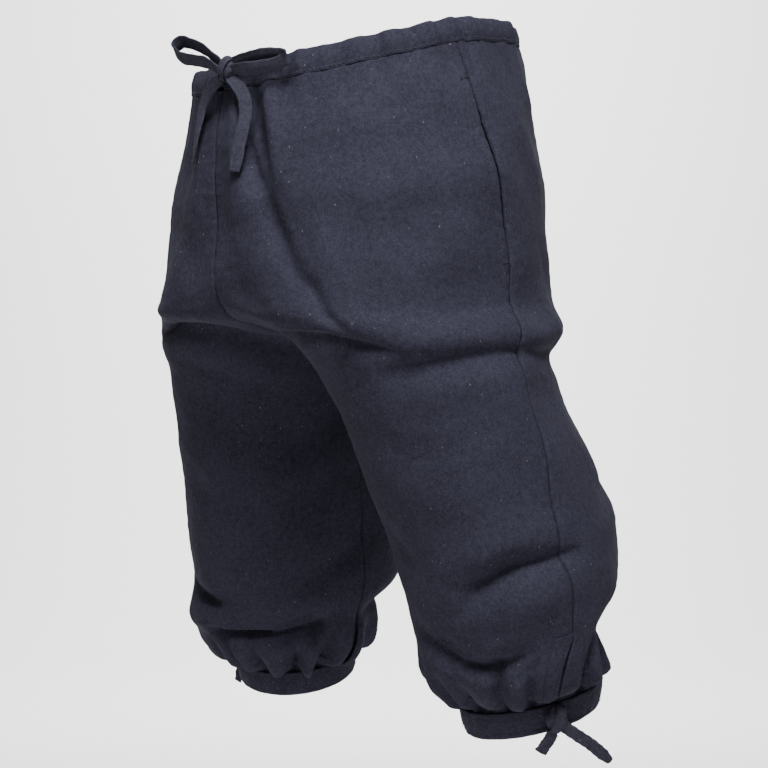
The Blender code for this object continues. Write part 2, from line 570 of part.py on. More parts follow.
def tape(name, strand, width, material):
    """A flat strip with rounded edges along a route, its width in the given direction."""
    path = smooth_route(strand.route, TAPE_STEP)
    tangent = np.gradient(path, axis=0)
    tangent /= np.linalg.norm(tangent, axis=1, keepdims=True)
    broad = np.tile(strand.width_direction, (len(path), 1))
    broad -= (broad * tangent).sum(1, keepdims=True) * tangent
    broad /= np.linalg.norm(broad, axis=1, keepdims=True)
    thin = np.cross(tangent, broad)
    share = np.linspace(0, 1, len(path))
    narrowing = np.interp(share, TAPE_NARROWING, [strand.start_share, 1, 1, strand.end_share])
    columns = []
    for point, b, n, s in zip(path, broad, thin, narrowing):
        columns.append(np.array([point + b * width * s * across + n * TAPE_THICKNESS * through
                                 for across, through in TAPE_OUTLINE]))
    return ring_wall(name, columns, material)


def knot(name, centre, axes, semi_axes, material):
    """A tight knot: a rounded block on three axes."""
    work = bmesh.new()
    bmesh.ops.create_uvsphere(work, u_segments=KNOT_SEGMENTS, v_segments=KNOT_RINGS, radius=1.0)
    mesh = bpy.data.meshes.new(name)
    work.to_mesh(mesh)
    work.free()
    local = np.array([tuple(v.co) for v in mesh.vertices])
    faces = [tuple(face.vertices) for face in mesh.polygons]
    bpy.data.meshes.remove(mesh)
    placed = np.array(centre) + local * np.array(semi_axes) @ np.array(axes)
    return add_object(name, placed, faces, material)


def knee_knot_frame(side):
    """Centre of a knee knot, and its axes: back along the band, out from it, and up."""
    down, angle = np.array([TIE_KNOT_DOWN]), seam_angle(np.array([TIE_KNOT_DOWN]))
    out = outward(form, side, down, angle)[0]
    back = form(side, down, angle + 0.01)[0] - form(side, down, angle)[0]
    back /= np.linalg.norm(back)
    up = side * np.cross(out, back)
    centre = form(side, down, angle)[0] + out * TIE_KNOT_LIFT
    return centre, np.array([back, out, up])


def build_cloth(material, dark):
    """All sewn pieces."""
    for side, word in ((1, "left"), (-1, "right")):
        panel("front_" + word, side, -1, material)
        panel("back_" + word, side, 1, material)
        knee_band("knee_band_" + word, side, material)
        slit_hem("slit_hem_" + word, side, material)
        pocket("pocket_" + word, side, dark)
    ring = ring_columns()
    waist_ring("waist_casing", CASING_OUTLINE, ring, CASING_HALF_SLIT, material)
    waist_ring("drawstring_end_left", DRAWSTRING_OUTLINE, ring[:4], CASING_HALF_SLIT, dark)
    waist_ring("drawstring_end_right", DRAWSTRING_OUTLINE, ring[-4:], CASING_HALF_SLIT, dark)


def build_ties(material):
    """The bow at the waist and the tie at each knee."""
    knot("bow_knot", BOW_KNOT.centre, np.eye(3), BOW_KNOT.semi_axes, material)
    for name, strand in BOW.items():
        tape(name, strand, TAPE_WIDTH, material)
    for side, word in ((1, "left"), (-1, "right")):
        centre, axes = knee_knot_frame(side)
        knot("knee_knot_" + word, centre, axes, TIE_KNOT_AXES, material)
        for name, strand in TIES.items():
            route = [centre + np.array(point) @ axes for point in strand.route]
            broad = np.array(strand.width_direction) @ axes
            tape(name + "_" + word, strand._replace(route=route, width_direction=broad), TIE_WIDTH,
                 material)


for old in list(bpy.data.objects):
    bpy.data.objects.remove(old)
BREECHES = bpy.data.collections.new("knee_breeches")
bpy.context.scene.collection.children.link(BREECHES)
WOOL = wool("dark_wool", WOOL_COLOUR)
WOOL_SHADE = wool("dark_wool_inside", WOOL_DARK)
build_cloth(WOOL, WOOL_SHADE)
build_ties(WOOL)
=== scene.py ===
"""Looks of worn wool knee breeches: fine cloth, sewing, ties, finishes, light and camera.

Everything is in metres, in the part's own frame: the wearer faces -Y, the wearer's left is +X, +Z is up
and the origin is the middle of the waist. A point of the cloth is named by a side (1 left, -1 right), by
down (0 at the top of the casing, 1 at the hem of the knee band) and by an angle round its half of the
body (0 at the outer side, -90 degrees at the front, +90 at the back, 180 at the inner leg).
"""
from __future__ import annotations

import logging
from collections.abc import Callable, Sequence
from dataclasses import dataclass, field
from enum import Enum

import bpy
import numpy as np
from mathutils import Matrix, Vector


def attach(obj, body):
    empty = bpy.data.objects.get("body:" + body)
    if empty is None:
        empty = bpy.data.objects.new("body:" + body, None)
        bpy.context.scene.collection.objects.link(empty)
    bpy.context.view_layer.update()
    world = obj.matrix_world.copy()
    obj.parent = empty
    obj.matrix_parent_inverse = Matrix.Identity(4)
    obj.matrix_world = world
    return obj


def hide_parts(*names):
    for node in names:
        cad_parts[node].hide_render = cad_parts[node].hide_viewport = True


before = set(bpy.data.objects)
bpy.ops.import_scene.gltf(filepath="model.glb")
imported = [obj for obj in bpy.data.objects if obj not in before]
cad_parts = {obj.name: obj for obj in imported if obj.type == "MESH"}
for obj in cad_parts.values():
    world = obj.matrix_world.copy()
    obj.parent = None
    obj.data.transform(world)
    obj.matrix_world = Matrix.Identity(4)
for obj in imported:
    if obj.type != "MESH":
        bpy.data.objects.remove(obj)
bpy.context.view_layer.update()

LOG = logging.getLogger("knee_breeches")
BODY = "root"

# The cloth and where its pieces meet
WALL = 0.0020
SEAM_GAP = 0.00004          # the seams are drawn tight
SIDE_LENGTH = 0.664
CASING_HEM, PANEL_TOP, BAND_TOP = 0.0362, 0.0355, 0.9597
PANEL_HEM = 0.9650          # the cloth ends between the band's two layers
POCKET_TOP, POCKET_END = 0.085, 0.345
SLIT_TOP = 0.862
FRONT, BACK = -1, 1
SIDE_WORDS = {1: "left", -1: "right"}


class Slot(Enum):
    """The finishes that the record names."""

    WOOL = "wool"
    POCKET = "pocket_wool"
    TAPE = "wool_tape"


@dataclass(frozen=True)
class Section:
    """A half-oval section: the height of its middle, its centre, half width, depths, tilts and skew."""

    down: float
    drop: float
    centre_x: float
    centre_y: float
    half_width: float
    front: float
    back: float
    pitch: float
    roll: float
    skew: float


SECTIONS = [
    Section(0.000, 0.000, 0.0000, 0.004, 0.1630, 0.150, 0.158, 0.27, 0.00, 0.00),
    Section(0.040, -0.026, 0.0000, 0.004, 0.1680, 0.154, 0.164, 0.27, 0.00, 0.00),
    Section(0.140, -0.095, 0.0000, 0.003, 0.1880, 0.162, 0.176, 0.20, 0.00, 0.00),
    Section(0.250, -0.166, 0.0000, 0.002, 0.2050, 0.166, 0.182, 0.10, 0.00, 0.00),
    Section(0.330, -0.219, 0.0140, 0.001, 0.1960, 0.165, 0.182, 0.04, 0.00, 0.01),
    Section(0.400, -0.266, 0.0600, 0.000, 0.1530, 0.154, 0.175, 0.03, 0.00, 0.03),
    Section(0.450, -0.298, 0.1167, 0.003, 0.1165, 0.134, 0.148, 0.03, 0.00, 0.06),
    Section(0.500, -0.331, 0.1280, 0.011, 0.1080, 0.121, 0.119, 0.04, 0.01, 0.10),
    Section(0.560, -0.370, 0.1390, 0.022, 0.1050, 0.118, 0.111, 0.06, 0.03, 0.12),
    Section(0.660, -0.435, 0.1500, 0.039, 0.1060, 0.118, 0.115, 0.10, 0.06, 0.12),
    Section(0.760, -0.500, 0.1590, 0.052, 0.1060, 0.115, 0.111, 0.14, 0.08, 0.12),
    Section(0.830, -0.548, 0.1650, 0.057, 0.1040, 0.111, 0.098, 0.18, 0.10, 0.12),
    Section(0.880, -0.582, 0.1700, 0.058, 0.1000, 0.106, 0.078, 0.20, 0.10, 0.12),
    Section(0.925, -0.613, 0.1740, 0.059, 0.0910, 0.092, 0.074, 0.20, 0.12, 0.10),
    Section(0.945, -0.627, 0.1750, 0.060, 0.0830, 0.083, 0.075, 0.20, 0.12, 0.06),
    Section(0.951, -0.631, 0.1750, 0.061, 0.0745, 0.075, 0.071, 0.20, 0.12, 0.02),
    Section(0.9555, -0.634, 0.1750, 0.062, 0.0672, 0.067, 0.066, 0.20, 0.12, 0.00),
    Section(0.960, -0.637, 0.1750, 0.062, 0.0660, 0.066, 0.065, 0.20, 0.12, 0.00),
    Section(1.000, -0.664, 0.1740, 0.064, 0.0620, 0.062, 0.062, 0.20, 0.12, 0.00),
]
BACK_FLATTENING, BACK_FLATTENING_END = 0.175, 0.30
STANCE = (0.012, 0.014, 0.0055)
STANCE_START, STANCE_LENGTH = 0.45, 0.45
# Where the side seam runs: down, and the angle in degrees
SIDE_SEAM = [(0.00, -4), (0.10, 1), (0.25, 6), (0.38, 11), (0.50, 10), (0.60, 4), (0.70, -5),
             (0.78, -9), (0.86, -9), (0.90, -15), (0.935, -21), (0.96, -24), (1.00, -25)]


@dataclass(frozen=True)
class Fold:
    """A soft ridge, or a trough where rise is below 0, along a run over the cloth.

    side is 1, -1 or 0 for both, angles are in degrees, reach is how far it spreads, bow is how far the
    run bends down at its middle, and lean spreads it further below the run than above it.
    """

    side: int
    from_angle: float
    from_down: float
    to_angle: float
    to_down: float
    reach: float
    rise: float
    bow: float = 0.0
    lean: float = 0.0


# The large folds, the same as in the solids
FOLDS = [
    Fold(1, -75, 0.03, -66, 0.19, 0.011, -0.0060),
    Fold(1, -82, 0.03, -76, 0.25, 0.014, 0.0050),
    Fold(1, -66, 0.03, -58, 0.17, 0.012, 0.0035),
    Fold(-1, -82, 0.04, -82, 0.22, 0.014, 0.0045),
    Fold(-1, -72, 0.03, -75, 0.16, 0.012, -0.0050),
    Fold(0, -90, 0.16, -88, 0.36, 0.026, -0.0070),
    Fold(-1, -72, 0.38, -104, 0.395, 0.021, 0.0095),
    Fold(-1, -104, 0.395, -150, 0.430, 0.017, 0.0080),
    Fold(-1, -66, 0.428, -106, 0.440, 0.012, -0.0100),
    Fold(-1, -106, 0.440, -150, 0.470, 0.012, -0.0080),
    Fold(1, -52, 0.40, -92, 0.425, 0.021, 0.0075),
    Fold(1, -48, 0.452, -84, 0.462, 0.014, -0.0080),
    Fold(1, -56, 0.492, 4, 0.464, 0.015, -0.0055),
    Fold(1, -48, 0.520, 0, 0.496, 0.020, 0.0040),
    Fold(1, 4, 0.464, 50, 0.478, 0.014, -0.0040),
    Fold(0, 60, 0.430, 125, 0.420, 0.026, 0.0030),
    Fold(0, 55, 0.482, 130, 0.470, 0.017, -0.0055),
    Fold(-1, -15, 0.470, 48, 0.486, 0.013, -0.0060),
    Fold(0, 70, 0.545, 125, 0.520, 0.014, -0.0040),
    Fold(1, -62, 0.745, -22, 0.722, 0.018, 0.0050),
    Fold(1, -60, 0.787, -36, 0.757, 0.011, -0.0065),
    Fold(1, -36, 0.757, -6, 0.757, 0.011, -0.0055),
    Fold(1, -64, 0.820, -14, 0.800, 0.018, 0.0060),
    Fold(1, -100, 0.835, -66, 0.882, 0.012, -0.0085),
    Fold(1, -66, 0.882, -42, 0.872, 0.011, -0.0060),
    Fold(1, -165, 0.940, -105, 0.940, 0.016, -0.0090),
    Fold(-1, -64, 0.836, -96, 0.842, 0.011, -0.0095),
    Fold(-1, -52, 0.872, -88, 0.868, 0.016, 0.0095),
    Fold(-1, -96, 0.874, -145, 0.868, 0.012, -0.0100),
    Fold(-1, -100, 0.905, -150, 0.900, 0.016, 0.0060),
    Fold(-1, -150, 0.800, -178, 0.760, 0.016, -0.0050),
    Fold(0, 15, 0.750, 50, 0.725, 0.016, 0.0045),
    Fold(0, 22, 0.878, 100, 0.868, 0.016, -0.0090),
    Fold(0, 5, 0.905, 80, 0.905, 0.034, -0.0130),
    Fold(0, 90, 0.820, 150, 0.840, 0.016, 0.0050),
    Fold(0, 110, 0.872, 165, 0.880, 0.013, -0.0060),
    Fold(0, 60, 0.650, 120, 0.690, 0.016, -0.0035),
    Fold(0, 185, 0.560, 225, 0.640, 0.015, -0.0035),
]
# The finer creases, placed over the large folds
CREASES = [
    # from the bow down to the fork
    Fold(1, -76, 0.030, -77, 0.130, 0.0060, -0.0090, 0.000, -0.2),
    Fold(1, -77, 0.120, -69, 0.210, 0.0075, -0.0085),
    Fold(1, -70, 0.195, -58, 0.370, 0.0110, -0.0080),
    Fold(1, -57, 0.370, -62, 0.432, 0.0080, -0.0060),
    Fold(1, -81, 0.045, -79, 0.180, 0.0070, 0.0030),
    Fold(1, -69, 0.045, -61, 0.200, 0.0080, 0.0058),
    Fold(1, -55, 0.210, -46, 0.370, 0.0160, 0.0030),
    Fold(1, -68, 0.040, -64, 0.110, 0.0050, 0.0016),
    Fold(1, -64, 0.040, -60, 0.120, 0.0060, -0.0022),
    Fold(1, -54, 0.040, -50, 0.095, 0.0055, -0.0016),
    Fold(1, -43, 0.040, -41, 0.080, 0.0050, -0.0012),
    Fold(-1, -86, 0.050, -84, 0.110, 0.0070, -0.0030),
    Fold(-1, -78, 0.050, -80, 0.150, 0.0050, -0.0020),
    Fold(-1, -62, 0.045, -64, 0.120, 0.0060, -0.0016),
    # the rise rolls over into a deep crease at the top of the far leg
    Fold(-1, -66, 0.300, -96, 0.378, 0.0130, 0.0030),
    Fold(-1, -96, 0.378, -122, 0.392, 0.0100, 0.0030),
    Fold(1, -104, 0.396, -86, 0.408, 0.0100, 0.0035),
    Fold(-1, -62, 0.402, -96, 0.402, 0.0080, 0.0045),
    Fold(-1, -94, 0.401, -124, 0.408, 0.0080, 0.0050),
    Fold(-1, -56, 0.432, -96, 0.430, 0.0068, -0.0130, 0.001, 0.4),
    Fold(-1, -92, 0.429, -122, 0.435, 0.0068, -0.0140, 0.000, 0.4),
    Fold(-1, -118, 0.435, -150, 0.454, 0.0068, -0.0110, 0.000, 0.4),
    Fold(1, -104, 0.436, -70, 0.438, 0.0055, -0.0090, 0.000, 0.4),
    Fold(-1, -64, 0.470, -100, 0.500, 0.0100, 0.0020),
    Fold(-1, -84, 0.480, -126, 0.520, 0.0100, -0.0024),
    # across the top of the near leg
    Fold(1, -74, 0.438, -50, 0.462, 0.0065, -0.0055, 0.002, 0.4),
    Fold(1, -54, 0.490, 2, 0.466, 0.0070, -0.0036, -0.004, 0.4),
    Fold(1, -66, 0.470, -30, 0.448, 0.0080, 0.0018),
    Fold(1, 6, 0.466, 46, 0.478, 0.0065, -0.0030, 0.000, 0.4),
    Fold(1, -28, 0.420, 2, 0.404, 0.0090, -0.0014),
    Fold(1, -100, 0.530, -70, 0.600, 0.0140, -0.0020),
    Fold(1, -40, 0.600, -14, 0.560, 0.0130, -0.0014),
    # round the near knee
    Fold(1, -104, 0.690, -84, 0.770, 0.0100, -0.0022),
    Fold(1, -58, 0.787, -38, 0.760, 0.0065, -0.0060, -0.003, 0.4),
    Fold(1, -38, 0.759, -6, 0.757, 0.0065, -0.0050, 0.000, 0.4),
    Fold(1, -76, 0.812, -54, 0.800, 0.0080, -0.0022),
    Fold(1, -100, 0.842, -74, 0.880, 0.0070, -0.0060, 0.004, 0.4),
    Fold(1, -74, 0.880, -46, 0.874, 0.0065, -0.0060, 0.004, 0.5),
    Fold(1, -70, 0.866, -44, 0.858, 0.0080, 0.0026),
    Fold(1, -50, 0.905, -34, 0.893, 0.0050, -0.0022),
    # round the far knee
    Fold(-1, -60, 0.832, -86, 0.842, 0.0065, -0.0080, 0.003, 0.5),
    Fold(-1, -90, 0.880, -118, 0.886, 0.0060, -0.0120, 0.002, 0.5),
    Fold(-1, -114, 0.886, -148, 0.874, 0.0060, -0.0110, 0.003, 0.5),
    Fold(-1, -94, 0.866, -130, 0.872, 0.0080, 0.0040),
    Fold(-1, -84, 0.862, -126, 0.866, 0.0100, 0.0035),
    Fold(-1, -86, 0.760, -118, 0.800, 0.0120, -0.0024),
    Fold(-1, -70, 0.640, -110, 0.680, 0.0140, -0.0020, 0.010),
    Fold(-1, -110, 0.600, -150, 0.560, 0.0130, -0.0018),
    # the back and the hidden sides
    Fold(0, 58, 0.478, 92, 0.472, 0.0065, -0.0034, -0.002, 0.4),
    Fold(0, 90, 0.470, 128, 0.462, 0.0065, -0.0030, 0.002, 0.4),
    Fold(0, 74, 0.540, 118, 0.522, 0.0080, -0.0020),
    Fold(0, 26, 0.876, 92, 0.868, 0.0065, -0.0040, 0.003, 0.4),
    Fold(0, 112, 0.872, 160, 0.880, 0.0065, -0.0028),
    Fold(0, 96, 0.050, 104, 0.160, 0.0075, -0.0020),
    Fold(0, 78, 0.045, 74, 0.120, 0.0065, -0.0018),
    Fold(0, 60, 0.045, 64, 0.130, 0.0070, -0.0018),
    Fold(0, 36, 0.045, 40, 0.110, 0.0060, -0.0014),
    Fold(0, 40, 0.690, 84, 0.640, 0.0110, -0.0022),
    Fold(0, 96, 0.700, 140, 0.740, 0.0110, -0.0022),
    Fold(-1, -50, 0.455, -6, 0.480, 0.0080, -0.0030, 0.003, 0.4),
    Fold(-1, -60, 0.880, -20, 0.868, 0.0060, -0.0040, 0.003, 0.4),
]
FOLDS_START, FOLDS_FADE = 0.022, 0.040
HEM_FADE_START, HEM_FADE_END = 0.948, 0.9610
HEM_FADE_KEEP = 0.16        # of the gathers' height, left where they enter the band
FOLD_END_SHARE = 0.45       # of a fold's rise, left at both ends of its run
CENTRE_CALM, CENTRE_SHARED = 0.020, 0.045


def smooth_step(t: np.ndarray) -> np.ndarray:
    """0 below 0, 1 above 1, and the cubic 3t^2 - 2t^3 between."""
    t = np.clip(t, 0, 1)
    return t * t * (3 - 2 * t)


def bell(distance: np.ndarray, reach: np.ndarray | float) -> np.ndarray:
    """A bell curve: e to the minus square of distance over reach."""
    return np.exp(-(distance / reach) ** 2)


def unit(vectors: np.ndarray) -> np.ndarray:
    """The vectors, each divided by its own length."""
    return vectors / np.maximum(np.linalg.norm(vectors, axis=-1, keepdims=True), 1e-12)


class Curve:
    """A smooth curve through the rows of a table, in cubic pieces whose slopes never overshoot."""

    def __init__(self, at: Sequence[float], values: Sequence[float]) -> None:
        """Store the knots and give each the harmonic mean of its neighbours' slopes.

        Args:
            at: where the values stand, rising.
            values: what the curve passes through.
        """
        self.x = np.array(at, float)
        self.y = np.array(values, float)
        self.step = np.diff(self.x)
        rise = np.diff(self.y) / self.step
        self.slope = np.zeros(len(self.x))
        same_way = rise[:-1] * rise[1:] > 0
        mean = 2 * rise[:-1] * rise[1:] / (rise[:-1] + rise[1:] + 1e-12)
        self.slope[1:-1][same_way] = mean[same_way]
        self.slope[0], self.slope[-1] = rise[0], rise[-1]

    def __call__(self, at: np.ndarray) -> np.ndarray:
        """Read the curve: each piece is the cubic through its two ends with their slopes.

        Args:
            at: where to read it.

        Returns:
            The curve's value at each place.
        """
        i = np.clip(np.searchsorted(self.x, at, side="right") - 1, 0, len(self.step) - 1)
        step = self.step[i]
        t = (at - self.x[i]) / step
        return ((2 * t ** 3 - 3 * t ** 2 + 1) * self.y[i] + (t ** 3 - 2 * t ** 2 + t) * step * self.slope[i]
                + (3 * t ** 2 - 2 * t ** 3) * self.y[i + 1] + (t ** 3 - t ** 2) * step * self.slope[i + 1])


@dataclass
class Rumple:
    """Soft unevenness of cloth: a sum of plain waves in space, in many directions."""

    seed: int
    count: int
    shortest: float
    longest: float
    height: float
    directions: np.ndarray = field(init=False)
    phases: np.ndarray = field(init=False)

    def __post_init__(self) -> None:
        """Draw the waves' directions, lengths and phases from the seed."""
        draw = np.random.default_rng(self.seed)
        lengths = np.exp(draw.uniform(np.log(self.shortest), np.log(self.longest), self.count))
        self.directions = unit(draw.normal(size=(self.count, 3))) * (2 * np.pi / lengths)[:, None]
        self.phases = draw.uniform(0, 2 * np.pi, self.count)

    def at(self, points: np.ndarray) -> np.ndarray:
        """Height at each point: the sum of sin(k . p + phase), scaled to the stated height.

        Args:
            points: places in space, one in each last row of the array.

        Returns:
            The unevenness at each of them.
        """
        total = np.zeros(points.shape[:-1])
        for direction, phase in zip(self.directions, self.phases):
            total += np.sin(points @ direction + phase)
        return total * self.height / np.sqrt(self.count / 2)


@dataclass
class Gathers:
    """Gathers of each quarter of the garment, at the waist and at the knee.

    The knee has soft waves, sharp ones that start at uneven levels, and small ones between those. A clear
    stretch is (from, length) in shares of the quarter's width.
    """

    count: int = 7
    waist_depth: float = 0.0019
    waist_start: float = 0.030
    waist_fade: float = 0.045
    bow_clear: tuple[float, float] = (0.86, 0.10)
    knee_depth: float = 0.0042
    knee_sharp_depth: float = 0.0064
    knee_small_depth: float = 0.0018
    knee_start: float = 0.860
    knee_growth: float = 0.075
    sharp_start: float = 0.012
    sharp_growth: float = 0.055
    sharp_wander: float = 0.024
    sharp_wander_waves: float = 5.3
    sharpness: float = 0.8
    small_waves: float = 2.0
    slit_clear: tuple[float, float] = (0.04, 0.12)
    wander: tuple[float, float] = (0.035, 0.020)
    unevenness: float = 0.35

    def rise(self, side: int, down: np.ndarray, half: np.ndarray, across: np.ndarray) -> np.ndarray:
        """Height of the gathers: waves across the quarter, with narrow troughs and small waves at the knee.

        Args:
            side: 1 for the wearer's left, -1 for the right.
            down: place down the garment.
            half: -1 on the front panel, 1 on the back.
            across: share of the panel's width, from the side seam.

        Returns:
            The height along the form's normal.
        """
        wander = self.wander[0] * np.sin(2 * np.pi * across) + self.wander[1] * np.sin(6 * np.pi * across)
        waist = np.cos(2 * np.pi * self.count * (across + wander))
        uneven = 1 + self.unevenness * np.sin(3 * np.pi * across + 1.3 * side + half)
        below = np.maximum(down - self.waist_start, 0) / self.waist_fade
        at_bow = np.where(half < 0, smooth_step((across - self.bow_clear[0]) / self.bow_clear[1]), 0.0)
        waist_depth = self.waist_depth * np.exp(-below ** 2) * (1 - at_bow)
        phase = self.count * (across - wander)
        uneven_knee = 0.8 + self.unevenness * np.sin(3 * np.pi * across + 0.7 * side - half)
        growth = smooth_step((down - self.knee_start) / self.knee_growth)
        clear = smooth_step((across - self.slit_clear[0]) / self.slit_clear[1])
        uneven_start = np.sin(self.sharp_wander_waves * np.pi * across + 2.1 * side + 1.7 * half)
        own_start = self.knee_start + self.sharp_wander * uneven_start
        own_growth = smooth_step((down - own_start - self.sharp_start) / self.sharp_growth)
        sharp = 2 * np.abs(np.cos(np.pi * phase)) ** self.sharpness - 1.3
        knee = self.knee_depth * growth * np.cos(2 * np.pi * phase)
        small = np.cos(2 * np.pi * (self.small_waves * phase + 0.31 + 0.2 * np.sin(7 * across + side)))
        knee = knee + (self.knee_sharp_depth * sharp + self.knee_small_depth * small) * own_growth
        knee = knee * clear * uneven_knee
        return waist_depth * uneven * waist + knee


@dataclass(frozen=True)
class DrawnSeams:
    """How sewing shapes the cloth beside the side seams, the centre seams and the inseams.

    A height is above the cloth, a place is a distance from the seam, a reach is how far a bell curve
    spreads, and a beat is the distance from one pucker to the next.
    """

    groove_depth: float = 0.0011
    groove_reach: float = 0.0022
    welt_height: float = 0.0005
    welt_place: float = 0.007
    welt_reach: float = 0.004
    pucker_height: float = 0.00022
    pucker_place: float = 0.003
    pucker_reach: float = 0.0065
    side_beat: float = 0.0125
    centre_beat: float = 0.0145
    beat_wander: float = 1.4
    beat_wander_length: float = 0.023
    slit_margin: float = 0.004
    slit_fade: float = 0.006
    mouth_power: float = 0.4
    mouth_depth: float = 0.0016
    mouth_reach: float = 0.011
    front_lift: float = 0.0014
    back_dip: float = 0.0004
    stitch_place: float = 0.0098
    stitch_reach: float = 0.0016
    stitch_depth: float = 0.0010

    def rise(self, down: np.ndarray, half: np.ndarray, across: np.ndarray, width: np.ndarray) -> np.ndarray:
        """Seams draw the cloth down in a narrow groove with small puckers, beside the allowance's welt.

        Along the pocket's mouth the groove is deeper and the front edge stands off. The slit has no seam.
        Each form is a bell curve of the distance from the seam, and a pucker is a sine along it.

        Args:
            down: place down the garment.
            half: -1 on the front panel, 1 on the back.
            across: share of the panel's width, from the side seam.
            width: the panel's width.

        Returns:
            The height along the form's normal.
        """
        run = down * SIDE_LENGTH
        total = 0.0
        sewn = 1 - smooth_step((down - SLIT_TOP + self.slit_margin) / self.slit_fade)
        from_side, from_centre = across * width, (1 - across) * width
        for distance, held, beat in ((from_side, sewn, self.side_beat), (from_centre, 1.0, self.centre_beat)):
            wander = self.beat_wander * np.sin(run / self.beat_wander_length)
            pucker = np.sin(2 * np.pi * run / beat + wander + half)
            total = total + held * (-self.groove_depth * bell(distance, self.groove_reach)
                                    + self.welt_height * bell(distance - self.welt_place, self.welt_reach)
                                    + self.pucker_height * pucker
                                    * bell(distance - self.pucker_place, self.pucker_reach))
        share = np.clip((down - POCKET_TOP) / (POCKET_END - POCKET_TOP), 0, 1)
        gape = np.sin(np.pi * share) ** self.mouth_power
        mouth = gape * bell(from_side, self.mouth_reach)
        stitched = gape * bell(from_side - self.stitch_place, self.stitch_reach)
        total = total - self.mouth_depth * gape * bell(from_side, self.groove_reach)
        front = self.front_lift * mouth - self.stitch_depth * stitched
        return total + np.where(half < 0, front, -self.back_dip * mouth)


